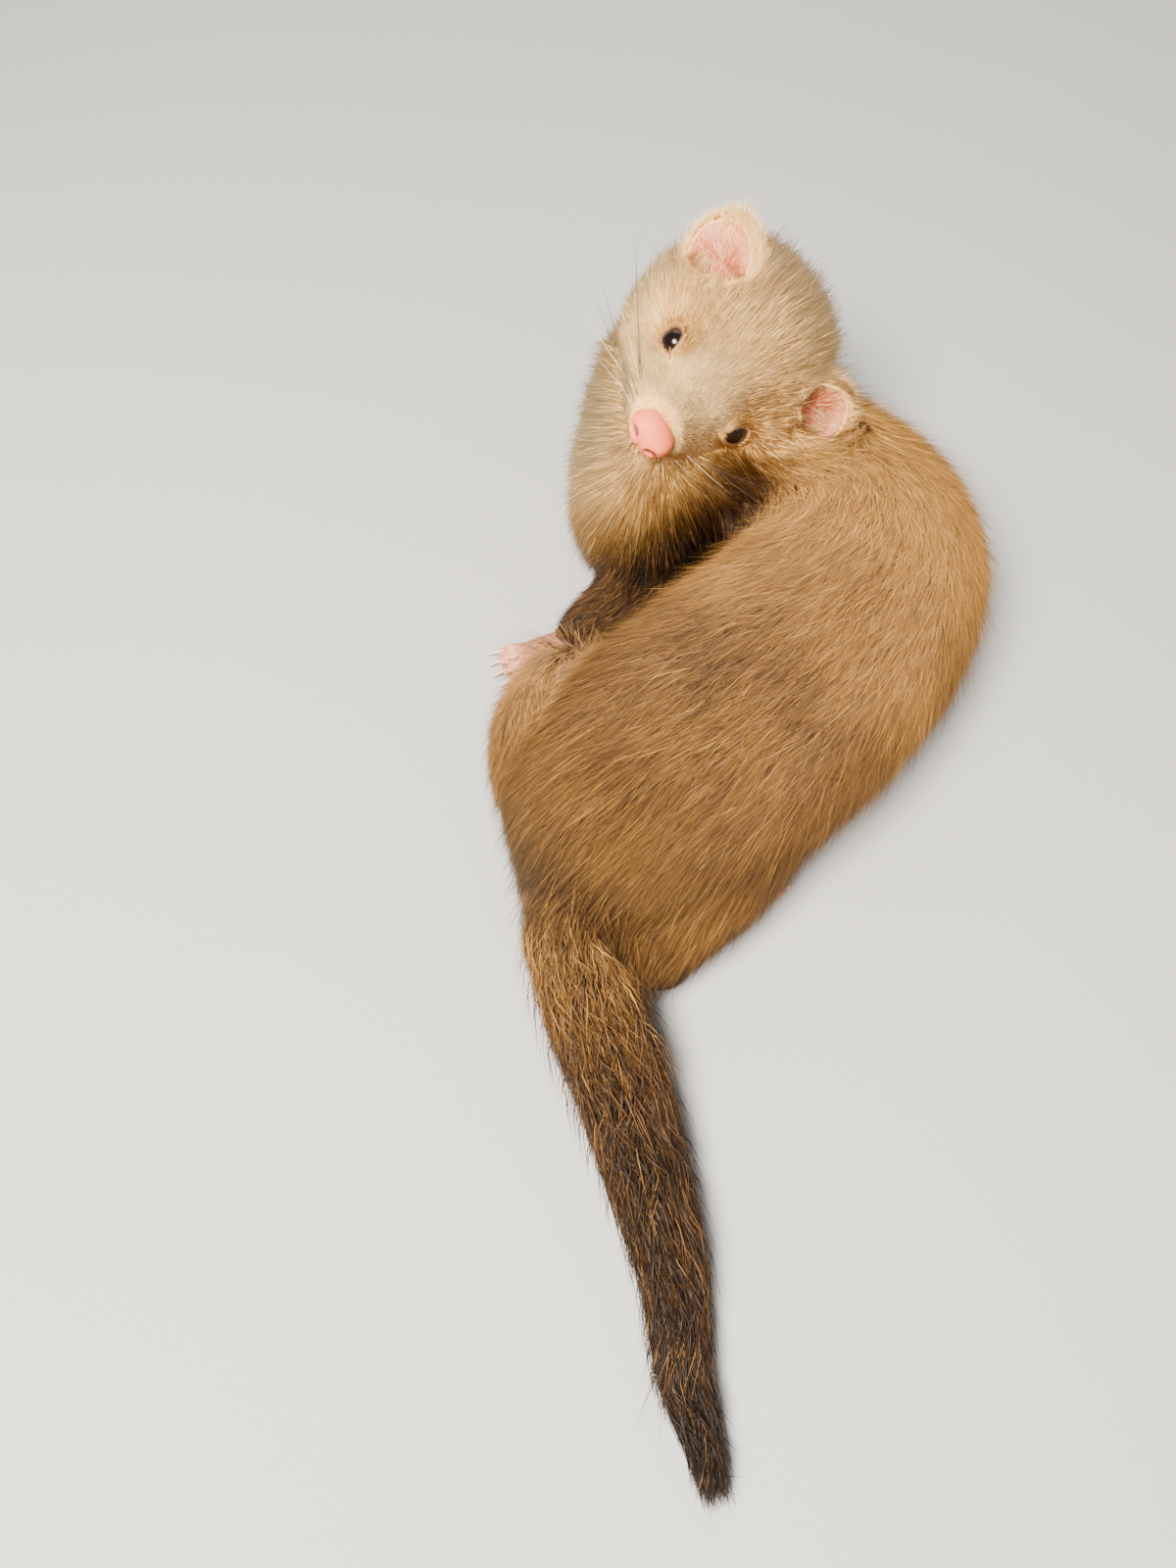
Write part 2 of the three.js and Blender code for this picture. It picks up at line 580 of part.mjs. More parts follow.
const hindCuts = [["hips", "loin", 0.4], ["belly", "ribs", 0.5]]
  .map(([a, b, share]) => slabAt(between(a, b, share), along(a, b)));
const hindLengths = apart(hindHalf, hindCuts).decompose();
add("rump", nearest(hindLengths, TRUNK.hips.p), coat(0xb98a56));
add("loin", nearest(hindLengths, at(0, 4, 33)), coat(0xc09664));
add("ribs", nearest(hindLengths, TRUNK.ribs.p), coat(0xc79b66));
const foreLengths = foreHalf.subtract(slabAt(CHEST_CUT.p, CHEST_CUT.axis)).decompose();
add("shoulders", nearest(foreLengths, TRUNK.withers.p), coat(0xcaa06c));
const underHead = nearest(foreLengths, CHEST.p).subtract(slabAt(NECK_CUT.p, NECK_CUT.axis)).decompose();
add("chest", nearest(underHead, CHEST.p), coat(0x9a7342));
add("neck", nearest(underHead, NECK[2].p), coat(0xc9ab78));

// Head
add("head", inWorld(headSolid).subtract(earDips(GAP)), coat(0xeed9b6));
add("nose", inWorld(noseSolid), skinPink);
const earRoots = wasm.Manifold.union([headInWorld, foreRoom]).subtract(earDips(0));
[["left", 1], ["right", -1]].forEach(([name, side]) => {
  add(`ear_${name}`, inWorld(earCup(EARS[name])).subtract(earRoots), coat(0xe9c3a4));
  add(`eye_${name}`, inWorld(eyeBall(side)), eyeDark);
});

// Legs, cut clear of the trunk
const trunkRoom = wasm.Manifold.union([hindRoom, foreRoom]);
const footRooms = Object.values(FOOT).map(footRoom);
const legRoom = (stations) =>
  tubeOf(stations.map(({ p, w, h }) => ({ p, w: w + 2 * GAP, h: h + 2 * GAP })), 14, 8, [0.9, 0.9]);
[["hind", HIND_LEG], ["fore", FORE_LEG]].forEach(([pair, legs]) =>
  ["left", "right"].forEach((side) => {
    const limb = tubeOf(legs[side], 14, 8, [0.9, 0.9]);
    add(`${pair}_leg_${side}`, apart(onFloor(limb), [trunkRoom, ...footRooms]), coat(0xb58a58));
    add(`${pair}_foot_${side}`, apart(onFloor(footOf(FOOT[`${pair}_${side}`])), [trunkRoom]), skinPink);
  }));

// Tail, in three lengths
const tailRun = runOf(TAIL);
const tailWhole = onFloor(tubeOf(TAIL, TAIL_AROUND, 24, [0.5, 1.2]));
const tailCuts = TAIL_PARTS.map((share) => slabAt(tailRun(share).p, tailRun(share).dir, 26));
const legRooms = Object.values(HIND_LEG).map(legRoom);
const tailLengths = apart(tailWhole, [trunkRoom, ...legRooms, ...footRooms, ...tailCuts]).decompose();
["tail_root", "tail_middle", "tail_tip"].forEach((name, i) => {
  const share = [0.25, 0.53, 0.87][i];
  add(name, nearest(tailLengths, tailRun(share).p), coat([0xa87440, 0x6f4c2c, 0x2f2012][i]));
});

export default ferret;
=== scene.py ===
"""Looks of the ferret: one skin over its solids, the coat in tufts, eyes, nose, claws, whiskers."""

import math

import bmesh
import bpy
import numpy as np
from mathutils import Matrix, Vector
from mathutils.bvhtree import BVHTree


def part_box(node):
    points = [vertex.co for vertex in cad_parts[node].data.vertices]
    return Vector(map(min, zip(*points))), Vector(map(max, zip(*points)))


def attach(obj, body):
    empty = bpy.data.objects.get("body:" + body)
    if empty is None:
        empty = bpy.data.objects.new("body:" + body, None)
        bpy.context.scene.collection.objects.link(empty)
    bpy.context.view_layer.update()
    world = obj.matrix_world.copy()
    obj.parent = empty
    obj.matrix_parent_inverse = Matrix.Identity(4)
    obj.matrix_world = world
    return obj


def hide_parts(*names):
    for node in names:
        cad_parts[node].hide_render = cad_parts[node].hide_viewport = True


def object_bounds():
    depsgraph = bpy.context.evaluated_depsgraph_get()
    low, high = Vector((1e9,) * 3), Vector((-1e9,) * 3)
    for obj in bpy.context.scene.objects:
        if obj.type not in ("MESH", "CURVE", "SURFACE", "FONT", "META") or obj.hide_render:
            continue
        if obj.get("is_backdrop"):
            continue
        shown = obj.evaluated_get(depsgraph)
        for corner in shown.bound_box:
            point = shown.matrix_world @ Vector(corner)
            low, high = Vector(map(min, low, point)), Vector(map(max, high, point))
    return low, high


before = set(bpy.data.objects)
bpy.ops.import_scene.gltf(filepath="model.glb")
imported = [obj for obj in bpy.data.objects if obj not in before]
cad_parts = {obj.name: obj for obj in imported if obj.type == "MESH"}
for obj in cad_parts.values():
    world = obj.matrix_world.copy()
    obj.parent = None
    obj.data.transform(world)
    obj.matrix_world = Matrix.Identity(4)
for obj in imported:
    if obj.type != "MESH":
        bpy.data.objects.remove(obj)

CAD_BOX = [list(corner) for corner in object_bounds()]
MM = 0.001

# The body's line from the rump to the turned neck, and the tail's line with its half height
SPINE = {
    "rump": (-38, -32, 26), "hips": (-31, -24, 30), "loin": (-12, -6, 33), "belly": (12, 16, 34),
    "ribs": (34, 38, 34), "bend": (49, 60, 34), "withers": (50, 82, 33), "shoulders": (38, 101, 32),
    "neck_root": (22, 113, 34), "neck_turn": (6, 118, 39),
}
TAIL = [
    (-41, -41, 25, 15), (-37, -57, 18, 14.5), (-32, -71, 14, 13.4), (-27, -84, 12, 12),
    (-20, -108, 9.6, 9.8), (-14, -131, 7.6, 7.8), (-12.5, -152, 6.1, 6.2), (-9, -163, 5, 5.3),
    (-7.6, -169, 4.3, 4.4),
]
LEGS = {
    "hind_leg_right": [(16, -8, 20), (4, -21, 20), (-8, -36, 19), (-17, -48, 12)],
    "hind_leg_left": [(-40, 28, 20), (-43, 14, 23), (-43, -3, 24), (-46, -22, 14)],
    "fore_leg_left": [(-8, 78, 20), (-24, 70, 13), (-38, 62, 8.2), (-43, 59, 6.6)],
    "fore_leg_right": [(10, 134, 17), (-1, 130, 12), (-11, 124, 8.2), (-15, 121, 6.6)],
}
# Each foot's heel on the floor, its turn in degrees, length, width and height
FEET = {
    "hind_foot_right": ((-19, -51, 0), 44, 50, 17, 11),
    "hind_foot_left": ((-50, -19, 0), 84, 48, 17, 11),
    "fore_foot_left": ((-43, 58.5, 0), 207, 21, 14, 9),
    "fore_foot_right": ((-15, 121, 0), 205, 21, 14, 9),
}
TOES = 5
CLAW_LONG = 5.5

# The head's own frame: forward, left and up from the tip of the nose
NOSE_TIP = np.array([-19.3, 79.7, 72.5])
HEAD = np.array([[-0.6003, -0.7994, 0.0232], [0.5885, -0.4612, -0.6641], [0.5416, -0.385, 0.7473]])
EYES = {side: np.mean([np.array(corner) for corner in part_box(f"eye_{side}")], axis=0) / MM
        for side in ("left", "right")}
EYE_FACING = {"left": (0.53, 0.62, 0.58), "right": (0.516, -0.704, 0.487)}
EYE_R = 4.7
EYE_FORWARD = 0.6
NOSE_MIDDLE = (-2.4, 0, 0.6)
NOSE_R = (4.4, 6.3, 4.9)
PAD_SIZE = 1.17
EARS = {  # middle, the way the cup opens, the way it stands up
    "left": ((-48.3, 26.8, 10.6), (0.75, 0.3, 0.6), (-0.74, 0.45, 0.54)),
    "right": ((-49.5, -22.5, 11), (0.81, -0.45, 0.37), (-0.59, -0.64, 0.5)),
}
MOUTH = [(-22, 20.05, -14.12), (-17, 14.65, -12.16), (-12, 9.87, -11.28), (-7.5, 5.47, -11.76),
         (-5, 0, -11.64)]
MOUTH += [(x, -y, z) for x, y, z in MOUTH[-2::-1]]
PHILTRUM = [(-1.8, 0, -3.6), (-3.4, 0, -8), (-5, 0, -11.64)]

FORE_LEGS = ("fore_leg_left", "fore_leg_right")
TRUNK_NODES = ["rump", "loin", "ribs", "shoulders", "chest", "neck"]
TAIL_NODES = ["tail_root", "tail_middle", "tail_tip"]
BODY_NODES = TRUNK_NODES + ["head", "nose"] + list(LEGS) + TAIL_NODES
FLESH = BODY_NODES + list(FEET) + ["ear_left", "ear_right"]

SKIN_CELL = 1.3
FOOT_CELL = 0.62
GROWN = 0.45  # closes the gaps that the solids keep
DRAWN_IN_STEPS = 5  # the skin goes in under the coat in this many steps
SKIN_LOW = 0.4  # least height of the skin over the floor
SOCKET_R = 4.3  # the skin bridges each eye's socket with a ball of this size
NOSE_HOLLOW = 3.2  # the skin lies this deep under the nose pad
MUZZLE_NARROW = (0, 0.24, 0.18)  # the end of the muzzle narrows by these shares toward the pad
MUZZLE_BACK = (1.7, 0, 0.2)
WRIST_SLIM = 0.42
GROOVE_WIDE, GROOVE_DEEP, LIP_RISE = 1.9, 0.85, 0.22  # the mouth's line and the lips beside it

# Depth of the coat over the skin, in mm
DEPTH = {"rump": 5, "loin": 5, "ribs": 5, "shoulders": 4.6, "chest": 4.4, "neck": 4, "nose": 0.5,
         "hind_leg_right": 4, "hind_leg_left": 4, "fore_leg_left": 2.4, "fore_leg_right": 2.4}
# How dark the coat is: 0 cream, 0.5 golden brown, 1 near black
TONE = {"rump": 0.69, "loin": 0.74, "ribs": 0.65, "shoulders": 0.57, "hind_leg_right": 0.7,
        "hind_leg_left": 0.68, "fore_leg_left": 0.84, "fore_leg_right": 0.84}

# Coat pieces: nodes, tufts, length and width in mm, share of chance in the length
COAT = {
    "coat_face": (["head_front"], 42000, 4.8, 0.34, 0.3),
    "coat_crown": (["head_back"], 43000, 9.5, 0.34, 0.35),
    "coat_ears": (["ear_left", "ear_right"], 12000, 5, 0.27, 0.4),
    "coat_neck": (["neck"], 37000, 13, 0.36, 0.35),
    "coat_chest": (["chest", "fore_leg_left", "fore_leg_right", "fore_foot_left",
                    "fore_foot_right"], 35000, 13, 0.38, 0.35),
    "coat_shoulders": (["shoulders"], 38000, 17, 0.38, 0.4),
    "coat_ribs": (["ribs"], 36000, 18, 0.38, 0.4),
    "coat_loin": (["loin"], 46000, 18, 0.38, 0.4),
    "coat_rump": (["rump", "hind_leg_right", "hind_leg_left", "hind_foot_right",
                   "hind_foot_left"], 47000, 16, 0.38, 0.4),
    "coat_tail": (TAIL_NODES, 13500, 18, 0.36, 0.35),
}
FOOT_HAIR = 2.6
LOOSE_SHARE, LOOSE_SHARE_HEAD, WILD_SHARE = 0.1, 0.16, 0.045  # hairs that stand off, and far off
TONE_SPREAD = 0.055  # from hair to hair
DARK_SHARE, PALE_SHARE = 0.08, 0.1  # hairs much darker or paler than those beside them
UV_PATCH = 0.003  # across one tuft's patch on the plan of the skin
WILD_RISE = 1.5  # how far single loose hairs stand off, in depths of the coat
BIB = (-32, 104, 54)  # middle of the cream patch on the throat
chance = np.random.default_rng(11)


# Plain sums on arrays of points

def unit(v):
    v = np.asarray(v, float)
    return v / np.maximum(np.linalg.norm(v, axis=-1, keepdims=True), 1e-12)


def ease(x, low, high):
    t = np.clip((x - low) / (high - low), 0, 1)
    return t * t * (3 - 2 * t)


def dot(a, b):
    return np.sum(np.asarray(a) * np.asarray(b), axis=-1)


def in_head(points):
    return (points - NOSE_TIP) @ HEAD.T


def from_head(points):
    return NOSE_TIP + np.asarray(points, float) @ HEAD


def fine_line(points, count=60):
    """A smooth line through the points, evenly sampled."""
    points = np.asarray(points, float)
    line = np.linspace(0, len(points) - 1, count)
    whole = np.clip(line.astype(int), 0, len(points) - 2)
    t = (line - whole)[:, None]
    ends = np.vstack([2 * points[0] - points[1], points, 2 * points[-1] - points[-2]])
    a, b, c, d = (ends[whole + k] for k in range(4))
    return 0.5 * (2 * b + (c - a) * t + (2 * a - 5 * b + 4 * c - d) * t ** 2
                  + (3 * b - a - 3 * c + d) * t ** 3)


def along(points, line):
    """For each point: its share of the line, the line's direction there, its offset from it, and
    the number of the line's nearest place."""
    nearest = np.argmin(((points[:, None] - line[None, :, :3]) ** 2).sum(2), axis=1)
    course = unit(np.gradient(line[:, :3], axis=0))
    return nearest / (len(line) - 1), course[nearest], points - line[nearest, :3], nearest


def near_lines(points, line):
    """Distance from each point to a line of short pieces."""
    best = np.full(len(points), 1e9)
    for a, b in zip(line[:-1], line[1:]):
        t = np.clip(((points - a) @ (b - a)) / max(dot(b - a, b - a), 1e-9), 0, 1)
        best = np.minimum(best, np.linalg.norm(points - a - t[:, None] * (b - a), axis=1))
    return best


def patches(points, size, seed):
    """Soft random patches of about the given size, from -1 to 1."""
    draw = np.random.default_rng(seed)
    total = np.zeros(len(points))
    for _ in range(6):
        way = unit(draw.normal(size=3)) * 2 * math.pi / (size * draw.uniform(0.7, 1.5))
        total += np.sin(points @ way + draw.uniform(0, 6.28))
    return total / 3.2


def from_pad(points):
    """How far out from the middle of the nose each point lies, 1 on the nose's surface."""
    return np.linalg.norm((in_head(points) - NOSE_MIDDLE) / NOSE_R, axis=1)


def to_eye(points, side):
    return np.linalg.norm(points - eye_frame(side)[0], axis=1)


def leg_line(name):
    return fine_line(LEGS[name], 20)


# Meshes

def arrays_of(mesh):
    mesh.calc_loop_triangles()
    points = np.empty(len(mesh.vertices) * 3, np.float32)
    mesh.vertices.foreach_get("co", points)
    tris = np.empty(len(mesh.loop_triangles) * 3, np.int32)
    mesh.loop_triangles.foreach_get("vertices", tris)
    return points.reshape(-1, 3).astype(float) / MM, tris.reshape(-1, 3)


def mesh_of(name, points, faces):
    mesh = bpy.data.meshes.new(name)
    faces = np.asarray(faces, np.int32)
    mesh.vertices.add(len(points))
    mesh.vertices.foreach_set("co", (np.asarray(points, np.float64) * MM).astype(np.float32).ravel())
    mesh.loops.add(faces.size)
    mesh.loops.foreach_set("vertex_index", faces.ravel())
    mesh.polygons.add(len(faces))
    mesh.polygons.foreach_set("loop_start", np.arange(0, faces.size, faces.shape[1], dtype=np.int32))
    mesh.update(calc_edges=True)
    return mesh


def keep(mesh, name, values):
    mesh.attributes.new(name, "FLOAT", "POINT").data.foreach_set("value", values.astype(np.float32))


def together(forms):
    points, faces, first = [], [], 0
    for p, f in forms:
        points.append(p)
        faces.append(np.asarray(f) + first)
        first += len(p)
    return np.vstack(points), np.vstack(faces)


def node_form(name, grow=0.0):
    """The node's surface with its doubles merged, pushed out a little."""
    shape = bmesh.new()
    shape.from_mesh(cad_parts[name].data)
    bmesh.ops.remove_doubles(shape, verts=shape.verts, dist=1e-6)
    bmesh.ops.triangulate(shape, faces=shape.faces)
    shape.verts.index_update()
    shape.normal_update()
    points = np.array([v.co / MM + v.normal * grow for v in shape.verts])
    faces = np.array([[v.index for v in f.verts] for f in shape.faces])
    shape.free()
    return points, faces


def rings_form(rings, start=None, end=None):
    """A closed form from rings of points, with a point at each end."""
    rings = np.asarray(rings, float)
    count, around = rings.shape[:2]
    start = rings[0].mean(0) if start is None else start
    end = rings[-1].mean(0) if end is None else end
    points = np.vstack([rings.reshape(-1, 3), start, end])
    j = np.arange(around)
    k = (j + 1) % around
    faces = []
    for i in range(count - 1):
        a, b, c, d = i * around + j, i * around + k, (i + 1) * around + k, (i + 1) * around + j
        faces += [np.stack([a, b, c], 1), np.stack([a, c, d], 1)]
    top = count * around
    faces.append(np.stack([np.full(around, top), k, j], 1))
    last = (count - 1) * around
    faces.append(np.stack([np.full(around, top + 1), last + j, last + k], 1))
    return points, np.vstack(faces)


def tube_form(stations, around=12):
    """A rounded tube through stations (x, y, z, half width, half height), bent in the level plane."""
    line = fine_line(stations, 4 * len(stations))
    course = unit(np.gradient(line[:, :3], axis=0))
    side = unit(np.cross((0, 0, 1), course))
    rise = np.cross(course, side)
    turn = np.linspace(0, 2 * math.pi, around, endpoint=False)
    rings = []
    caps = [(0, -1, s) for s in (0.35, 0.75, 0.95)]
    body = [(i, 0, 1.0) for i in range(len(line))]
    for i, push, size in caps + body + [(len(line) - 1, 1, s) for s in (0.95, 0.75, 0.35)]:
        w, h = line[i, 3:] * size
        middle = line[i, :3] + course[i] * push * math.sqrt(1 - size * size) * min(line[i, 3:]) * 0.9
        rings.append(middle + np.outer(np.cos(turn) * w, side[i]) + np.outer(np.sin(turn) * h, rise[i]))
    return rings_form(rings)


def edges_of(tris):
    pairs = np.sort(np.vstack([tris[:, [0, 1]], tris[:, [1, 2]], tris[:, [2, 0]]]), axis=1)
    return np.unique(pairs, axis=0)


def smoothed(values, edges, rounds, share=0.5):
    a, b = edges.T
    n = len(values)
    count = np.maximum(np.bincount(a, minlength=n) + np.bincount(b, minlength=n), 1)
    table = values.reshape(n, -1).astype(float)
    for _ in range(rounds):
        mean = np.stack([np.bincount(a, col[b], n) + np.bincount(b, col[a], n) for col in table.T], 1)
        table = table + share * (mean / count[:, None] - table)
    return table.reshape(values.shape)


def evened(points, edges, rounds):
    """Smooths a surface and keeps its size."""
    for _ in range(rounds):
        points = smoothed(points, edges, 1, 0.55)
        points = smoothed(points, edges, 1, -0.57)
    return points


def normals_of(points, tris):
    a, b, c = (points[tris[:, k]] for k in range(3))
    across = np.cross(b - a, c - a)
    total = np.zeros_like(points)
    for k in range(3):
        for axis in range(3):
            total[:, axis] += np.bincount(tris[:, k], across[:, axis], len(points))
    return unit(total)


def cells_form(points, faces, cell):
    """One closed skin round overlapping forms, in even cells."""
    holder = bpy.data.objects.new("form", mesh_of("form", points, faces))
    bpy.context.scene.collection.objects.link(holder)
    even = holder.modifiers.new("even_cells", "REMESH")
    even.mode = "VOXEL"
    even.voxel_size = cell * MM
    seen = holder.evaluated_get(bpy.context.evaluated_depsgraph_get())
    result = bpy.data.meshes.new_from_object(seen)
    found = arrays_of(result)
    bpy.data.objects.remove(holder)
    bpy.data.meshes.remove(result)
    return found


def largest_shell(points, tris):
    a, b = edges_of(tris).T
    label = np.arange(len(points))
    while (label[a] != label[b]).any():
        low = np.minimum(label[a], label[b])
        np.minimum.at(label, a, low)
        np.minimum.at(label, b, low)
        label = label[label]
    names, sizes = np.unique(label, return_counts=True)
    kept = label == names[np.argmax(sizes)]
    place = np.cumsum(kept) - 1
    return points[kept], place[tris[kept[tris[:, 0]]]]


def finer(points, tris, chosen):
    """Splits the faces whose corners are all chosen into four."""
    shape = bmesh.new()
    mesh = mesh_of("finer", points, tris)
    shape.from_mesh(mesh)
    cut = [e for e in shape.edges if chosen[e.verts[0].index] and chosen[e.verts[1].index]]
    bmesh.ops.subdivide_edges(shape, edges=cut, cuts=1, use_grid_fill=True)
    bmesh.ops.triangulate(shape, faces=shape.faces)
    shape.to_mesh(mesh)
    shape.free()
    found = arrays_of(mesh)
    bpy.data.meshes.remove(mesh)
    return found


# The skin's own forms

def eye_frame(side):
    """The eyeball's middle, its facing, the way to the nose across it, and the third way."""
    facing = unit(EYE_FACING[side]) @ HEAD
    middle = EYES[side] + facing * EYE_FORWARD
    to_nose = from_head((-2, 0, -1)) - middle
    to_nose = unit(to_nose - dot(to_nose, facing) * facing)
    return middle, facing, to_nose, np.cross(facing, to_nose)


def lid_angle(round_eye):
    """How far the lids open, in degrees from the eye's facing; 0 round the eye is the corner
    toward the nose."""
    c = np.cos(round_eye)
    return 36 + 3 * c * c + 13 * np.clip(c, 0, 1) ** 8


def eye_angles(points, side):
    middle, facing, to_nose, third = eye_frame(side)
    from_middle = points - middle
    reach = np.linalg.norm(from_middle, axis=1)
    off_facing = np.degrees(np.arccos(np.clip(dot(from_middle, facing) / np.maximum(reach, 1e-6), -1, 1)))
    round_eye = np.arctan2(dot(from_middle, third), dot(from_middle, to_nose))
    past_lid = off_facing - lid_angle(round_eye)
    return middle, from_middle, reach, off_facing, past_lid


def fold_lids(points):
    """The skin dips under the ball inside the lids and rolls over it at their rims."""
    for side in EYES:
        middle, out, reach, off_facing, past = eye_angles(points, side)
        target = EYE_R - 0.5 + 1.0 * ease(past, -2, 7) - 0.25 * ease(past, 10, 24)
        share = (1 - ease(past, 13, 36)) * (reach < 11) * (off_facing < 100)
        wanted = middle + unit(out) * target[:, None]
        points = points + share[:, None] * (wanted - points)
    return points


def ear_form(middle, out, up):
    """A thin cup with a rolled rim; also how far inside it each point lies, and how deep."""
    f = unit(out)
    side = unit(np.cross(unit(up), f))
    rise = np.cross(f, side)
    around = 44
    turn = np.linspace(0, 2 * math.pi, around, endpoint=False)
    profile = [(-5.6 * math.cos(a), math.sin(a), 0.0) for a in np.radians(np.linspace(12, 112, 15))]
    profile += [(2.85, 0.9, 0.12), (3.15, 0.868, 0.3), (2.95, 0.838, 0.55)]
    profile += [(3.6 - 3.9 * math.cos(a), 0.86 * math.sin(a), 1.0)
                for a in np.radians(np.linspace(72, 12, 12))]
    rings, inner, deep = [], [], []
    for o, share, inside in profile:
        fold = inside * 0.9 * np.sin(3 * turn + 0.8) * min(1, (1.02 - share) * 3)
        rim = 0.5 * np.sin(2 * turn + 1) * share
        low = 0.5 - 0.5 * np.sin(turn + 0.5)
        deep += list(inside * ease(1.05 - share * (1.35 - 0.75 * low), 0.1, 0.75))
        rings.append(np.array(middle) + np.outer(o + fold + rim, f)
                     + np.outer(12 * share * np.cos(turn), side)
                     + np.outer(12.5 * share * np.sin(turn), rise))
        inner += [inside] * around
    ends = [np.array(middle) + f * o for o in (-5.6, -0.35)]
    points, faces = rings_form([from_head(r) for r in rings], from_head(ends[0]), from_head(ends[1]))
    return points, faces, np.array(inner + [0, 1.0]), np.array(deep + [0, 1.0])


def foot_places(sizes):
    """Turns a foot's own lengths into places on the floor."""
    heel, turn = sizes[:2]
    c, s = math.cos(math.radians(turn)), math.sin(math.radians(turn))
    return lambda p: np.asarray(p, float) @ np.array([[c, s, 0], [-s, c, 0], [0, 0, 1]]) + heel


def toe_lines(sizes):
    """Root, knuckle and tip of each toe, with its direction, in the foot's own lengths."""
    _, _, long, wide, high = sizes
    for i in range(TOES):
        s = (i - (TOES - 1) / 2) / ((TOES - 1) / 2)
        way = np.array([math.cos(0.34 * s), math.sin(0.34 * s), 0])
        root = np.array([long * 0.62, s * wide * 0.36, high * 0.34])
        tip = root + way * long * 0.36 * (1 - 0.22 * s * s) - (0, 0, high * 0.08)
        knuckle = root + (tip - root) * 0.55 + (0, 0, high * 0.1)
        yield root, knuckle, tip, way


def foot_form(sizes):
    _, _, long, wide, high = sizes
    r = wide * 0.118
    forms = [tube_form([
        (-high * 0.2, 0, high * 0.5, wide * 0.3, high * 0.46),
        (long * 0.2, 0, high * 0.47, wide * 0.34, high * 0.45),
        (long * 0.42, 0, high * 0.42, wide * 0.4, high * 0.4),
        (long * 0.66, 0, high * 0.36, wide * 0.45, high * 0.32),
    ])]
    for root, knuckle, tip, way in toe_lines(sizes):
        forms.append(tube_form([
            (*(root - way * 2), r * 1.05, r), (*root, r, r),
            (*knuckle, r * 1.05, r * 1.08), (*(tip - way * 1.2), r * 0.9, r * 0.8),
            (*(tip + way * 0.4 + (0, 0, 0.2)), r * 0.85, r * 0.85)]))
    points, tris = cells_form(*together(forms), FOOT_CELL)
    points = evened(points, edges_of(tris), 3)
    pink = 0.35 + 0.5 * ease(points[:, 0], long * 0.5, long * 0.8)
    pink = np.maximum(pink, 0.9 * (1 - ease(points[:, 2], 1.2, 3)))
    points[:, 2] = np.maximum(points[:, 2], 0.15)
    return foot_places(sizes)(points), tris, pink


def head_depth(points):
    """Depth of the coat on the head, least at the muzzle."""
    x = in_head(points)[:, 0]
    depth = np.interp(x, [-80, -60, -47, -36, -26, -16, -9, 0], [3.6, 3.4, 2.9, 2.1, 1.3, 0.8, 0.5, 0.35])
    for side in EYES:
        depth = 0.35 + (depth - 0.35) * ease(to_eye(points, side), 5, 12)
    return depth


tail_line = fine_line(TAIL, 90)
mouth_line = from_head(fine_line(MOUTH, 40))
philtrum_line = from_head(fine_line(PHILTRUM, 10))
hind_line = fine_line([SPINE[k] for k in ("withers", "bend", "ribs", "belly", "loin", "hips", "rump")])
fore_line = fine_line([SPINE[k] for k in ("neck_turn", "neck_root", "shoulders", "withers", "bend",
                                          "ribs")])


def body_form():
    """The skin of the body without ears and feet, before it is drawn in under the coat."""
    forms = [node_form(name, GROWN) for name in BODY_NODES]
    for side in EYES:
        middle = eye_frame(side)[0]
        turn = np.linspace(0, 2 * math.pi, 16, endpoint=False)
        rings = [middle + np.stack([np.cos(turn) * math.sin(a), np.sin(turn) * math.sin(a),
                                    np.full(16, -math.cos(a))], 1) * SOCKET_R
                 for a in np.linspace(0.3, math.pi - 0.3, 9)]
        forms.append(rings_form(rings))
    points, tris = largest_shell(*cells_form(*together(forms), SKIN_CELL))
    points = evened(points, edges_of(tris), 2)
    for back in (-44, -31):
        local = in_head(points)
        chosen = (local[:, 0] > back) & (np.abs(local[:, 1]) < 24) & (np.abs(local[:, 2]) < 22)
        points, tris = finer(points, tris, chosen)
        points = smoothed(points, edges_of(tris), 1, 0.3)
    return points, tris


def labels_of(points):
    """The name of the solid nearest to each point."""
    forms = [node_form(name) for name in BODY_NODES]
    all_points, all_tris = together(forms)
    owner = np.repeat(np.arange(len(forms)), [len(f[1]) for f in forms])
    tree = BVHTree.FromPolygons([Vector(p) for p in all_points], all_tris.tolist())
    return owner[[tree.find_nearest(Vector(p))[2] for p in points]]


# The whole skin: body, ears and feet, with what its coat needs to know at each point

points, tris = body_form()
edges = edges_of(tris)
owner = labels_of(points)
names = list(BODY_NODES)
depth = np.zeros(len(points))
for i, name in enumerate(names):
    here = owner == i
    if name == "head":
        depth[here] = head_depth(points[here])
    elif name in TAIL_NODES:
        nearest = along(points[here], tail_line)[3]
        depth[here] = 0.42 * tail_line[nearest, 3]
    else:
        depth[here] = DEPTH[name]
depth = smoothed(depth, edges, 14)
hollow = (1 - ease(from_pad(points), 1.05, 1.75)) * (owner < len(TRUNK_NODES) + 2)
depth = depth + (NOSE_HOLLOW - depth) * hollow
for _ in range(DRAWN_IN_STEPS):
    inward = unit(smoothed(normals_of(points, tris), edges, 5))
    points = points - inward * (depth / DRAWN_IN_STEPS)[:, None]
    points = smoothed(points, edges, 1, 0.35)
local = in_head(points)
front = (ease(local[:, 0], -11, -1) * np.isin(np.array(names)[owner], ["head", "nose"]))[:, None]
points = from_head(local * (1 - front * MUZZLE_NARROW) - front * MUZZLE_BACK)
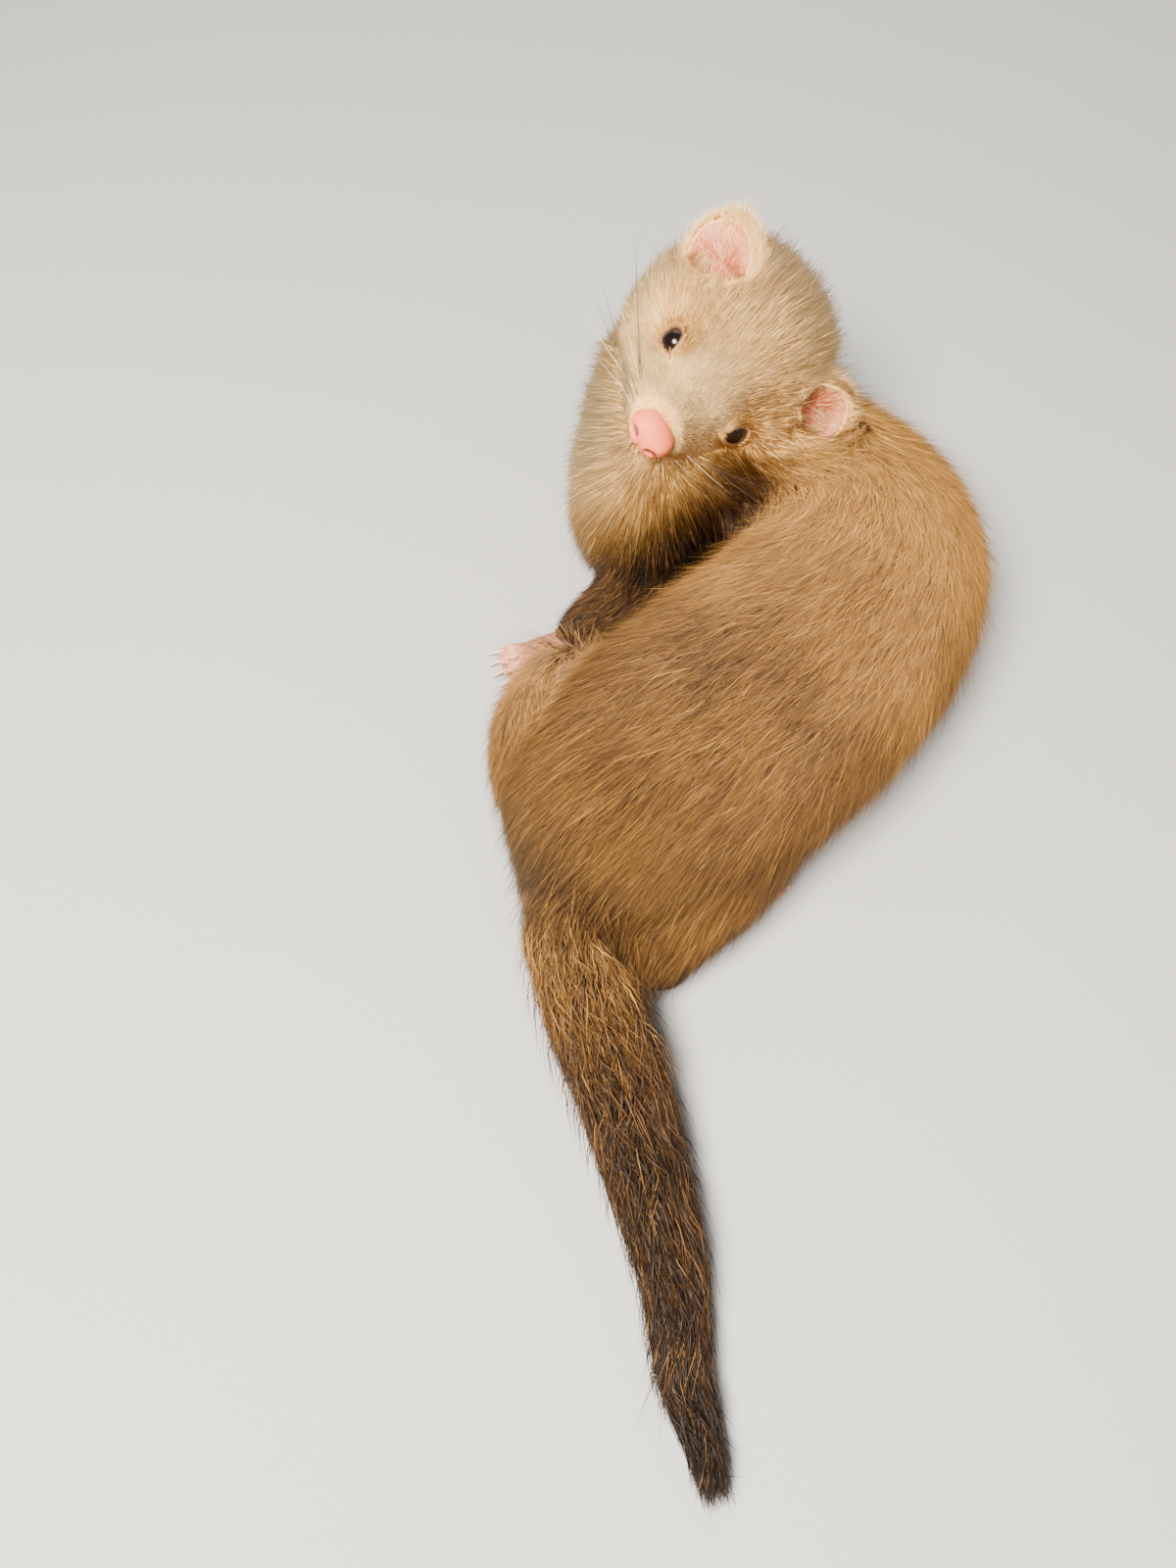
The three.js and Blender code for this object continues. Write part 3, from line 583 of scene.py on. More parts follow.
for leg in FORE_LEGS:
    share, _, offset, _ = along(points, leg_line(leg))
    slim = WRIST_SLIM * ease(share, 0.6, 1) * (owner == names.index(leg))
    points = points - slim[:, None] * offset
points = fold_lids(points)
mouth_line, philtrum_line = (
    points[[np.argmin(((points - spot) ** 2).sum(1)) for spot in line]]
    for line in (mouth_line, philtrum_line))
to_mouth = np.minimum(near_lines(points, mouth_line), near_lines(points, philtrum_line) * 1.35)
groove = np.clip(1 - (to_mouth / GROOVE_WIDE) ** 2, 0, 1) ** 2
lip = np.exp(-((to_mouth - 2.3) / 0.9) ** 2)
fade = ease(in_head(points)[:, 0], -23, -15)
rise = fade * (LIP_RISE * lip - GROOVE_DEEP * groove)
points = points + unit(normals_of(points, tris)) * rise[:, None]
points[:, 2] = np.maximum(points[:, 2], SKIN_LOW)
pink = 0.85 * groove * fade
pink = np.maximum(pink, 1 - ease(from_pad(points), 1.15, 1.4))
bridge = in_head(points) - (-11, 0, 5)
pink = np.maximum(pink, 0.5 * np.exp(-dot(bridge / (6, 3.5, 5), bridge / (6, 3.5, 5))))
lid_room = np.ones(len(points))
for side in EYES:
    _, _, reach, off_facing, past = eye_angles(points, side)
    near = (reach < 9) & (off_facing < 100)
    lid_room = np.where(near, np.minimum(lid_room, ease(past, -1, 3)), lid_room)
    pink = np.where(near, np.maximum(pink, 0.45 * (1 - ease(past, 0, 4))), pink)

skin_forms = [(points, tris)]
owners, depths, pinks, rooms = [owner], [depth], [pink], [lid_room]
# The mouth's groove takes a deeper pink.
deep_pinks_and_shade = [0.5 * groove]
for side, ear in EARS.items():
    p, f, inner, deep = ear_form(*ear)
    skin_forms.append((p, f))
    names.append(f"ear_{side}")
    owners.append(np.full(len(p), len(names) - 1))
    depths.append(0.8 + 0.5 * (1 - inner))
    pinks.append(ease(inner, 0.55, 1))
    # Painted shade: each ear's pink darkens deeper in its cup, and the left ear's inside is darker all
    # over, painted shade on that side.
    deep_pinks_and_shade.append(np.clip(deep + (0.6 if side == "left" else 0.3), 0, 1) * ease(inner, 0.5, 1))
    rooms.append(1 - 0.86 * ease(inner, 0.5, 1))
for name, sizes in FEET.items():
    p, f, p_pink = foot_form(sizes)
    skin_forms.append((p, f))
    names.append(name)
    owners.append(np.full(len(p), len(names) - 1))
    depths.append(np.full(len(p), 0.6))
    pinks.append(p_pink)
    # The feet take a deeper pink toward the floor.
    deep_pinks_and_shade.append(0.12 + 0.3 * (1 - ease(p[:, 2], 1, 3)))
    rooms.append(1 - 0.75 * p_pink)
points, tris = together(skin_forms)
owner, depth, pink, room, blush = (np.concatenate(v) for v in (owners, depths, pinks, rooms, deep_pinks_and_shade))
edges = edges_of(tris)
outward = normals_of(points, tris)
head_at = in_head(points)
name_of = np.array(names)[owner]
name_of = np.where(name_of == "nose", "head", name_of)
is_head = name_of == "head"
on_ear = np.char.startswith(name_of, "ear")
on_foot = np.isin(name_of, list(FEET))


def lie_of_coat():
    """The way that the hair lies at each point of the skin."""
    lie = np.zeros_like(points)
    from_nose = unit(points - from_head((4, 0, 2)))
    for name in np.unique(name_of):
        here = name_of == name
        p = points[here]
        if name in ("head", "neck"):
            way = from_nose[here]
            for side in EYES:
                away = p - eye_frame(side)[0]
                reach = np.linalg.norm(away, axis=1)[:, None]
                way = way + 1.3 * np.exp(-((reach - 4) / 2.5) ** 2) * away / reach
            if name == "neck":
                way = way + (0.0, -0.1, -0.5)
        elif name == "chest":
            way = unit(from_nose[here] + (0, -0.2, -0.5))
        elif name == "shoulders":
            way = along(p, fore_line)[1] + (0, 0, -0.3) * (p[:, 2:] < 50)
        elif name in TAIL_NODES:
            way = along(p, tail_line)[1]
        elif name in LEGS:
            way = along(p, leg_line(name))[1]
        elif name in FEET:
            way = np.tile(foot_places(((0, 0, 0), *FEET[name][1:]))((1, 0, 0)), (len(p), 1))
        elif name.startswith("ear"):
            middle, out, up = EARS[name[4:]]
            way = unit(p - from_head(middle)) + np.array(up) @ HEAD * 0.6 + np.array(out) @ HEAD * 0.5
        else:
            way = along(p, hind_line)[1] + (0, 0, -0.3) * (p[:, 2:] < 50)
        lie[here] = way
    for _ in range(8):
        lie = lie - dot(lie, outward)[:, None] * outward
        lie = smoothed(unit(lie), edges, 2)
    return unit(lie - dot(lie, outward)[:, None] * outward)


def markings():
    """How dark the coat is at each point of the skin."""
    tone = np.full(len(points), 0.5)
    for name, value in TONE.items():
        tone[name_of == name] = value
    x = head_at[:, 0]
    head_tone = np.interp(x, [-85, -68, -55, -35, -20, 0], [0.4, 0.27, 0.15, 0.08, 0.05, 0.03])
    head_tone += 0.05 * np.exp(-((x + 33) / 8) ** 2) * ease(head_at[:, 2], 0, 12)
    for side in EYES:
        mask = points - EYES[side] + (HEAD[0] * 4 - HEAD[2] * 3)
        head_tone = head_tone + 0.1 * np.exp(-dot(mask, mask) / 90)
        head_tone = head_tone + 0.24 * np.exp(-((to_eye(points, side) - 4.5) / 1.8) ** 2)
        y = -9.5 if side == "right" else 9.5
        line = np.array([(-10, y, -1), (-17, y * 1.05, 0), (-21.5, y * 1.25, 2.5)])
        crease = near_lines(head_at, line)
        # A dark line from each eye toward the nose: faint on the right, four times as strong on the left,
        # where it is painted shadow of the fold of fur.
        head_tone = head_tone + (0.4 if side == "left" else 0.1) * np.exp(-(crease / 1.7) ** 2)
    # Slightly darker hair round the nose pad: painted shade where the hair meets the pad.
    head_tone = head_tone + 0.1 * (1 - ease(from_pad(points), 1.3, 2.3))
    tone = np.where(is_head, head_tone, tone)
    # Neck and chest: cream round the bib, darkening to near black toward the chest; that dark is partly
    # the chest's brown fur and partly painted shade under the head.
    from_bib = np.linalg.norm((points - BIB) * (1, 1, 0.8), axis=1)
    throat = np.interp(from_bib, [10, 20, 29, 38, 52], [0.08, 0.22, 0.48, 0.78, 1.0])
    behind = ease(points[:, 0] + 0.35 * points[:, 1], 36, 62)
    throat = throat * (1 - behind) + 0.55 * behind
    tone = np.where((name_of == "neck") | (name_of == "chest"), throat, tone)
    # The underside of the head takes half of this throat tone, its painted shade included.
    below = ease(-head_at[:, 2], 8, 22) * is_head
    tone = tone + below * (throat - tone) * 0.5
    share = along(points, tail_line)[0]
    tail_tone = np.interp(share, [0, 0.18, 0.4, 0.6, 0.8, 1], [0.67, 0.76, 0.88, 0.9, 0.96, 1.0])
    tone = np.where(np.isin(name_of, TAIL_NODES), tail_tone, tone)
    tone = np.where(on_ear, 0.13, tone)
    tone = np.where(on_foot, 0.5, tone)
    body = ~is_head & ~on_ear
    for leg in FORE_LEGS:
        down = ease(along(points, leg_line(leg))[0], 0.55, 1) * (name_of == leg)
        tone = tone + down * (0.55 - tone)
    tone = np.where(body, smoothed(tone, edges, 40), smoothed(tone, edges, 8))
    # Painted shade: the body's coat darkens toward the floor, where shade falls under it.
    tone = tone + 0.16 * ease(-points[:, 2], -26, -6) * body * (tone < 0.8)
    mottle = 0.03 * patches(points, 26, 1) + 0.02 * patches(points, 9, 2)
    tone = tone + mottle * np.where(body, 1, 0.4)
    return np.clip(tone, 0, 1)


def unwrap():
    """Each point's place on a flat plan of the skin: round each part, and along it."""
    plan = np.zeros((len(points), 2))
    plots = {"trunk": (0.01, 0.01, 0.49, 0.99), "head": (0.51, 0.51, 0.74, 0.99),
             "tail": (0.51, 0.01, 0.74, 0.49), "ear_left": (0.76, 0.9, 0.87, 0.99),
             "ear_right": (0.88, 0.9, 0.99, 0.99)}
    for i, (leg, foot) in enumerate(zip(LEGS, FEET)):
        plots[leg] = (0.76, 0.01 + 0.22 * i, 0.87, 0.2 + 0.22 * i)
        plots[foot] = (0.88, 0.01 + 0.22 * i, 0.99, 0.2 + 0.22 * i)
    whole = np.vstack([fore_line[:40], hind_line[12:]])
    for name in np.unique(name_of):
        here = name_of == name
        p = points[here]
        plot = plots.get(name) or plots["tail" if name in TAIL_NODES else
                                       "head" if name == "head" else "trunk"]
        if name == "head" or name.startswith("ear"):
            local = in_head(p)
            if name == "head":
                a, share = np.arctan2(local[:, 1], local[:, 2]), np.clip(-local[:, 0] / 88, 0, 1)
            else:
                middle, out, up = EARS[name[4:]]
                side = unit(np.cross(up, out))
                offset = local - middle
                share = np.clip(0.5 + offset @ side / 26, 0, 1)
                a = (np.clip(0.5 + offset @ np.array(up) / 26, 0, 1) - 0.5) * 2 * math.pi
        else:
            line = (tail_line if name in TAIL_NODES else whole if name in TRUNK_NODES else
                    leg_line(name) if name in LEGS else
                    foot_places(FEET[name])([(FEET[name][2] * s, 0, 4) for s in np.linspace(0, 1, 20)]))
            share, course, offset, _ = along(p, line)
            side = unit(np.cross((0, 0, 1), course))
            a = np.arctan2(dot(offset, side), dot(offset, np.cross(course, side)))
        u = a / (2 * math.pi) + 0.5
        low, high = np.array(plot[:2]), np.array(plot[2:])
        plan[here] = low + np.stack([u, share], 1) * (high - low)
    return plan


def stand_off():
    """Where the coat stands further off the body, as shares of its depth: the ruff behind the
    cheeks, the hair before the ears and the crown."""
    ruff = is_head * ease(np.abs(head_at[:, 1]), 12, 24) * ease(-head_at[:, 0], 26, 38)
    total = 0.5 * ruff + 0.4 * is_head * ease(-head_at[:, 0], 36, 60)
    for middle, out, up in EARS.values():
        reach = np.linalg.norm(head_at - middle - np.array(out) * 4 + np.array(up) * 6, axis=1)
        total = total + 0.7 * is_head * (1 - ease(reach, 7, 15))
    return total


lie = lie_of_coat()
loft = stand_off()
tone = markings()
plan = unwrap()


# Finishes

def colour(r, g, b):
    """Linear colour from the usual 0 to 255 values."""
    return tuple((v / 255 / 12.92 if v <= 10 else ((v / 255 + 0.055) / 1.055) ** 2.4)
                 for v in (r, g, b)) + (1.0,)


def add_node(tree, kind, settings, sockets):
    """Adds one node with its settings, and sets or links its sockets."""
    node = tree.nodes.new(kind)
    for key, value in (settings or {}).items():
        if key == "stops":
            ramp = node.color_ramp
            while len(ramp.elements) < len(value):
                ramp.elements.new(0.5)
            for element, (place, shade) in zip(ramp.elements, value):
                element.position, element.color = place, shade
        else:
            setattr(node, key, value)
    for key, value in (sockets or {}).items():
        if isinstance(value, bpy.types.NodeSocket):
            tree.links.new(value, node.inputs[key])
        else:
            node.inputs[key].default_value = value
    return node


class Sum:
    """A number that varies over a surface. Sums on it add the nodes they need."""

    def __init__(self, finish, socket):
        self.finish, self.socket = finish, socket

    def work(self, operation, *values):
        settings = {"operation": operation}
        return self.finish.add("ShaderNodeMath", settings, dict(enumerate(values))).out(0)

    def __add__(self, other):
        return self.work("ADD", self, other)

    def __sub__(self, other):
        return self.work("SUBTRACT", self, other)

    def __rsub__(self, other):
        return self.work("SUBTRACT", other, self)

    def __mul__(self, other):
        return self.work("MULTIPLY", self, other)

    def __pow__(self, other):
        return self.work("POWER", self, other)

    __radd__, __rmul__ = __add__, __mul__

    def clamp(self):
        return self.work("MINIMUM", self.work("MAXIMUM", self, 0.0), 1.0)


class Made:
    """A node that has been added to a finish."""

    def __init__(self, finish, node):
        self.finish, self.node = finish, node

    def out(self, name):
        return Sum(self.finish, self.node.outputs[name])


class Finish:
    """One procedural material."""

    def __init__(self, name):
        self.material = bpy.data.materials.new(name)
        self.material.use_nodes = True
        self.tree = self.material.node_tree
        self.tree.nodes.clear()

    def add(self, kind, settings=None, sockets=None):
        plain = {key: getattr(value, "socket", value) for key, value in (sockets or {}).items()}
        return Made(self, add_node(self.tree, kind, settings, plain))

    def value(self, name):
        return self.add("ShaderNodeAttribute", {"attribute_name": name}).out("Fac")

    def place(self):
        return self.add("ShaderNodeTexCoord").out("Object")

    def noise(self, scale, detail=2.0, roughness=0.5):
        return self.add("ShaderNodeTexNoise", None, {"Vector": self.place(), "Scale": scale,
                                                     "Detail": detail, "Roughness": roughness}).out("Fac")

    def ramp(self, factor, stops):
        return self.add("ShaderNodeValToRGB", {"stops": stops}, {"Fac": factor}).out("Color")

    def mix(self, factor, a, b, blend="MIX"):
        return self.add("ShaderNodeMix", {"data_type": "RGBA", "blend_type": blend},
                        {0: factor, 6: a, 7: b}).out(2)

    def bump(self, height, strength, distance):
        return self.add("ShaderNodeBump", None, {"Height": height, "Strength": strength,
                                                 "Distance": distance}).out("Normal")

    def finished(self, **sockets):
        wanted = {name.replace("_", " "): value for name, value in sockets.items()}
        surface = self.add("ShaderNodeBsdfPrincipled", None, wanted).out("BSDF")
        self.add("ShaderNodeOutputMaterial", None, {"Surface": surface})
        return self.material


COAT_STOPS = [
    (0.0, colour(255, 232, 176)), (0.15, colour(253, 208, 136)), (0.35, colour(218, 164, 84)),
    (0.5, colour(178, 130, 60)), (0.65, colour(128, 90, 42)), (0.8, colour(78, 51, 24)),
    (0.92, colour(42, 26, 13)), (1.0, colour(19, 11, 7)),
]
PINK = colour(226, 142, 120)
PALE_PINK = colour(240, 178, 150)
DEEP_PINK_AND_SHADE = colour(168, 84, 62)


def coat_finish():
    f = Finish("coat_hair")
    shade = f.value("tone") + (f.noise(420, 3) - 0.5) * 0.09
    base = f.ramp(shade.clamp(), COAT_STOPS)
    rough = 0.62 - f.value("along") * 0.14
    return f.finished(Base_Color=base, Roughness=rough, **{"Specular_IOR_Level": 0.38})


def skin_finish():
    f = Finish("skin_short_hair")
    shade = f.value("tone") + (f.noise(420, 3) - 0.5) * 0.09
    hair = f.ramp(shade.clamp(), COAT_STOPS)
    flesh = f.mix(f.noise(260, 3), PINK, PALE_PINK)
    # Deeper pink mixed in: painted shade inside the ears; also along the mouth's groove and under the
    # feet.
    flesh = f.mix(f.value("blush").clamp(), flesh, DEEP_PINK_AND_SHADE)
    base = f.mix(f.value("pink").clamp(), hair, flesh)
    grain = f.noise(2600, 3) * 0.6 + f.noise(900, 2) * 0.4
    return f.finished(Base_Color=base, Roughness=0.66 - f.value("pink") * 0.18,
                      Normal=f.bump(grain, 0.35, 0.0004), **{"Specular_IOR_Level": 0.35})


def nose_finish():
    f = Finish("nose_skin")
    cells = f.add("ShaderNodeTexVoronoi", {"feature": "DISTANCE_TO_EDGE"},
                  {"Vector": f.place(), "Scale": 2100.0}).out("Distance")
    base = f.mix(f.noise(380, 3), colour(224, 94, 58), colour(247, 134, 90))
    # The nostrils and the groove are painted in shade.
    base = f.mix(f.value("dark").clamp(), base, colour(92, 34, 30))
    height = (cells * 2.4).clamp()
    return f.finished(Base_Color=base, Roughness=0.42 + f.noise(900) * 0.16,
                      Normal=f.bump(height, 0.35, 0.00025), Coat_Weight=0.12, Coat_Roughness=0.3,
                      Subsurface_Weight=0.12, Subsurface_Scale=0.001)


def eye_finish():
    f = Finish("wet_eye")
    depth_in = f.value("rim")
    base = f.ramp(depth_in, [(0.0, colour(10, 6, 6)), (0.6, colour(18, 9, 8)),
                             (1.0, colour(36, 18, 13))])
    return f.finished(Base_Color=base, Roughness=0.16 + f.noise(700) * 0.05, Coat_Weight=0.3,
                      Coat_Roughness=0.03, **{"Specular_IOR_Level": 0.2})


def claw_finish():
    f = Finish("claw_horn")
    base = f.mix(f.noise(500, 3), colour(226, 196, 170), colour(204, 160, 138))
    return f.finished(Base_Color=base, Roughness=0.3 + f.noise(1500) * 0.15,
                      Normal=f.bump(f.noise(1800), 0.2, 0.0002), Coat_Weight=0.3, Coat_Roughness=0.2)


def whisker_finish(name, dark, light):
    f = Finish(name)
    base = f.mix(f.noise(120, 2), dark, light)
    return f.finished(Base_Color=base, Roughness=0.38 + f.noise(900) * 0.1)


def floor_finish():
    f = Finish("studio_floor")
    base = f.mix(f.noise(3, 2), colour(166, 167, 168), colour(173, 174, 175))
    return f.finished(Base_Color=base, Roughness=0.85)


HAIR, HIDE = coat_finish(), skin_finish()


def place_piece(name, mesh, material, slot, *replaced):
    thing = bpy.data.objects.new(name, mesh)
    bpy.context.scene.collection.objects.link(thing)
    mesh.materials.clear()
    mesh.materials.append(material)
    mesh.shade_smooth()
    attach(thing, "root")
    if replaced:
        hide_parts(*replaced)
    return thing


def build_skin():
    mesh = mesh_of("skin", points, tris)
    # The skin's colour is darker than the coat's own tone, more on the head: painted shade between the
    # hairs.
    keep(mesh, "tone", tone + np.where(is_head, 0.32, 0.12) * (1 - pink))
    keep(mesh, "pink", pink)
    keep(mesh, "blush", blush)
    return place_piece("skin", mesh, HIDE, "coat_golden", *[n for n in FLESH if n != "nose"])


# The coat

def neighbours(edges, count, most=9):
    """For each point, the points joined to it by an edge, itself where there are fewer."""
    a = np.concatenate([edges[:, 0], edges[:, 1]])
    b = np.concatenate([edges[:, 1], edges[:, 0]])
    order = np.argsort(a, kind="stable")
    a, b = a[order], b[order]
    first = np.searchsorted(a, np.arange(count))
    rank = np.arange(len(a)) - first[a]
    table = np.tile(np.arange(count)[:, None], (1, most))
    fits = rank < most
    table[a[fits], rank[fits]] = b[fits]
    return table


next_to = neighbours(edges, len(points))


def walk(spot, at, hops):
    """Steps over the skin from point to point until the one nearest to each place."""
    for _ in range(hops):
        options = np.concatenate([spot[:, None], next_to[spot]], axis=1)
        gap = ((points[options] - at[:, None]) ** 2).sum(2)
        closer = options[np.arange(len(spot)), np.argmin(gap, axis=1)]
        if (closer == spot).all():
            break
        spot = closer
    return spot


def on_skin(spot, at):
    return at - dot(at - points[spot], outward[spot])[:, None] * outward[spot]


def held(reached, before, way):
    """Hair runs on past an end of the skin, such as the end of a leg, and doesn't wrap over it."""
    return np.where(dot(outward[reached], way) > 0.55, before, reached)


def tuft_roots(where, count, weight):
    """Even places on the chosen faces: the face's corners and the place on it."""
    chosen = np.flatnonzero(where)
    corners = points[tris[chosen]]
    area = np.linalg.norm(np.cross(corners[:, 1] - corners[:, 0], corners[:, 2] - corners[:, 0]), axis=1)
    share = np.cumsum(area * weight[chosen])
    marks = (np.arange(count) + chance.uniform(0, 1, count)) / count * share[-1]
    face = np.minimum(np.searchsorted(share, marks), len(chosen) - 1)
    a, b = np.sqrt(chance.uniform(0, 1, count)), chance.uniform(0, 1, count)
    mix = np.stack([1 - a, a * (1 - b), a * b], 1)
    root = (corners[face] * mix[:, :, None]).sum(1)
    corner = tris[chosen[face], np.argmax(mix, axis=1)]
    return root, corner


def combed(spot, at, locks, stray):
    """The lie of the coat with the small turns that real locks take."""
    way = lie[spot]
    across = np.cross(outward[spot], way)
    bend = 0.14 * patches(at, 18, 5) + locks * patches(at, 4.5, 6)
    bend = bend + stray
    return unit(way + across * bend[:, None])


def hair_lengths(name, root, spot, long, grow):
    """Fits the length to the place: short at the muzzle, the eyes, the wrists and the feet."""
    x = head_at[spot, 0]
    if name == "coat_face":
        long = long * np.interp(x, [-33, -22, -12, -5], [1.45, 1.0, 0.6, 0.4])
        for side in EYES:
            long = long * np.interp(to_eye(root, side), [5, 8], [0.6, 1])
    elif name == "coat_crown":
        long = long * np.interp(x, [-80, -60, -45, -33], [1.35, 1.15, 0.9, 0.72])
    elif name == "coat_tail":
        long = long * np.interp(along(root, tail_line)[0], [0, 0.6, 0.9, 1], [1, 1, 0.8, 0.5])
    for leg in FORE_LEGS:
        down = along(root, leg_line(leg))[0]
        long = np.where(name_of[spot] == leg, long * (0.62 - 0.4 * ease(down, 0.5, 1)), long)
    return np.where(on_foot[spot], FOOT_HAIR * grow, long * (1 + 0.3 * np.clip(loft[spot], 0, 1.2)))


def coat_piece(name, nodes, count, length, width, varied):
    """One region's tufts: closed tapered slips that rise from the skin and lie along the body."""
    bent = name == "coat_tail"
    front = is_head & (head_at[:, 0] > -33)
    group = np.where(is_head, np.where(front, "head_front", "head_back"), name_of)
    wanted = np.isin(group, nodes)
    face_in = wanted[tris[:, 0]]
    under = ease(points[:, 2], 0.5, 6)
    thin = room * np.maximum(under, 0.12)
    thin = thin * np.where(on_foot, 0.9, 1)
    if name == "coat_face":
        thin = thin * (0.7 + 1.3 * ease(head_at[:, 0], -30, -14)) * (1 - ease(pink, 0.4, 0.9))
    weight = np.maximum(thin, 0.002)[tris].mean(1)
    root, spot = tuft_roots(face_in, count, weight)
    normal = outward[spot]
    grow = 1 + varied * chance.uniform(-1, 0.8, count)
    long = hair_lengths(name, root, spot, length * grow, grow)
    is_foot, is_ear = on_foot[spot], on_ear[spot]
    x = head_at[spot, 0]
    wide = width * chance.uniform(0.65, 1.25, count) * np.where(is_foot, 0.75, 1)
    if name == "coat_face":
        wide = wide * np.interp(x, [-26, -10], [1, 0.85])
    stray = chance.normal(0, 0.13, count)
    lifted = chance.uniform(0, 1, count)
    loose = chance.uniform(0, 1, count) > 1 - np.where(is_head[spot], LOOSE_SHARE_HEAD, LOOSE_SHARE)
    rise = np.where(loose, 1.0 + 0.8 * lifted, 0.4 + 0.6 * lifted ** 0.8)
    rise = rise + np.where(is_ear, 0.9 * lifted, 0) + loft[spot] * (0.35 + 0.65 * lifted)
    wild = (chance.uniform(0, 1, count) > 1 - WILD_SHARE) & (x < -25) & ~is_ear
    rise = rise + wild * chance.uniform(0.3, WILD_RISE, count)

    way = combed(spot, root, 0.08, stray)
    step = 0.45 * long
    hops = max(2, int(length * 0.6 / 0.9) + 2)
    middle_at = root + way * step[:, None]
    middle_spot = held(walk(spot, middle_at, hops), spot, way)
    middle_on = on_skin(middle_spot, middle_at)
    next_way = combed(middle_spot, middle_on, 0.2, stray * 1.6)
    tip_at = middle_on + next_way * (long - step)[:, None]
    tip_spot = held(walk(middle_spot, tip_at, hops), middle_spot, next_way)
    tip_on = on_skin(tip_spot, tip_at)
    middle = middle_on + outward[middle_spot] * (0.12 + depth[middle_spot] * 0.66 * rise)[:, None]
    tip = tip_on + outward[tip_spot] * (0.2 + depth[tip_spot] * rise)[:, None]
    tip[:, 2] = np.maximum(tip[:, 2], 0.2)
    middle[:, 2] = np.maximum(middle[:, 2], 0.35)

    def ring(centre, normal, way, half):
        side = np.cross(way, normal)
        return [centre + normal * half * 0.6, centre + side * half - normal * half * 0.25,
                centre - side * half - normal * half * 0.25]

    half = (wide / 2)[:, None]
    first = ring(root - normal * 0.25, normal, way, half * 0.75)
    if bent:
        parts = [*first, *ring(middle, outward[middle_spot], next_way, half), tip]
        pattern = [(0, 2, 1), (3, 4, 6), (4, 5, 6), (5, 3, 6)]
        for j, k in ((0, 1), (1, 2), (2, 0)):
            pattern += [(j, k, 3 + k), (j, 3 + k, 3 + j)]
        share = [0, 0, 0, 0.5, 0.5, 0.5, 1]
        spread = [(0, -1), (1, -1), (-1, -1), (0, 0), (1, 0), (-1, 0), (0, 1)]
    else:
        parts = [*first, tip]
        pattern = [(0, 1, 3), (1, 2, 3), (2, 0, 3), (0, 2, 1)]
        share = [0, 0, 0, 1]
        spread = [(0, -1), (1, -1), (-1, -1), (0, 1)]
    each = len(parts)
    all_points = np.stack(parts, 1).reshape(-1, 3)
    faces = (np.arange(count)[:, None, None] * each + np.array(pattern)[None]).reshape(-1, 3)
    mesh = mesh_of(name, all_points, faces)
    share = np.array(share, float)
    pale = np.where(is_head[spot] | is_ear, 1.0, 0.0)
    own = tone[spot] + chance.normal(0, TONE_SPREAD, count)
    own = own + (0.025 + 0.04 * pale) * patches(root, 1.8, 8)
    pick = chance.uniform(0, 1, count)
    own = own - 0.2 * (pick > 1 - PALE_SHARE) * (tone[spot] > 0.3) + 0.18 * (pick < DARK_SHARE)
    # Painted shade between the hairs: each tuft is darker at its root and paler at its tip, the more so
    # on the head and ears.
    fade = (0.14 + 0.16 * pale)[:, None] * (0.7 - share)[None]
    keep(mesh, "tone", np.clip(own[:, None] + fade, 0, 1).ravel())
    keep(mesh, "along", np.tile(share, count))
    plot = plan[spot][:, None] + UV_PATCH / 2 * np.array(spread, float)[None]
    layer = mesh.uv_layers.new(name="OFBake")
    layer.data.foreach_set("uv", plot.reshape(-1, 2)[faces.ravel()].astype(np.float32).ravel())
    return place_piece(name, mesh, HAIR, "coat_golden")


# Strands: whiskers, claws and the rims of the lids are lines that take a thickness

def strand_tree():
    tree = bpy.data.node_groups.new("tapered_strand", "GeometryNodeTree")
    face = tree.interface
    face.new_socket("Geometry", in_out="INPUT", socket_type="NodeSocketGeometry")
    for name, kind, value in (("Thickness", "Float", 0.0002), ("Taper", "Float", 0.9),
                              ("Fullness", "Float", 2.0), ("Sides", "Int", 6)):
        face.new_socket(name, in_out="INPUT", socket_type=f"NodeSocket{kind}").default_value = value
    face.new_socket("Finish", in_out="INPUT", socket_type="NodeSocketMaterial")
    face.new_socket("Geometry", in_out="OUTPUT", socket_type="NodeSocketGeometry")

    def add(kind, settings=None, **sockets):
        plain = {int(key[1:]) if key[1:].isdigit() else key.replace("_", " "): value
                 for key, value in sockets.items()}
        return add_node(tree, kind, settings, plain).outputs

    given = add("NodeGroupInput")
    share = add("GeometryNodeInputNamedAttribute", {"data_type": "FLOAT"}, Name="share")[0]
    power = add("ShaderNodeMath", {"operation": "POWER"}, i0=share, i1=given["Fullness"])[0]
    drop = add("ShaderNodeMath", {"operation": "MULTIPLY"}, i0=power, i1=given["Taper"])[0]
    left = add("ShaderNodeMath", {"operation": "SUBTRACT"}, i0=1.0, i1=drop)[0]
    thick = add("ShaderNodeMath", {"operation": "MULTIPLY"}, i0=left, i1=given["Thickness"])[0]
    line = add("GeometryNodeMeshToCurve", None, Mesh=given["Geometry"])[0]
    round_line = add("GeometryNodeCurvePrimitiveCircle", {"mode": "RADIUS"}, Resolution=given["Sides"],
                     Radius=1.0)[0]
    body = add("GeometryNodeCurveToMesh", None, Curve=line, Profile_Curve=round_line, Scale=thick,
               Fill_Caps=True)[0]
    real = add("GeometryNodeRealizeInstances", None, Geometry=body)[0]
    done = add("GeometryNodeSetMaterial", None, Geometry=real, Material=given["Finish"])[0]
    add("NodeGroupOutput", None, Geometry=done)
    return tree


STRAND = strand_tree()


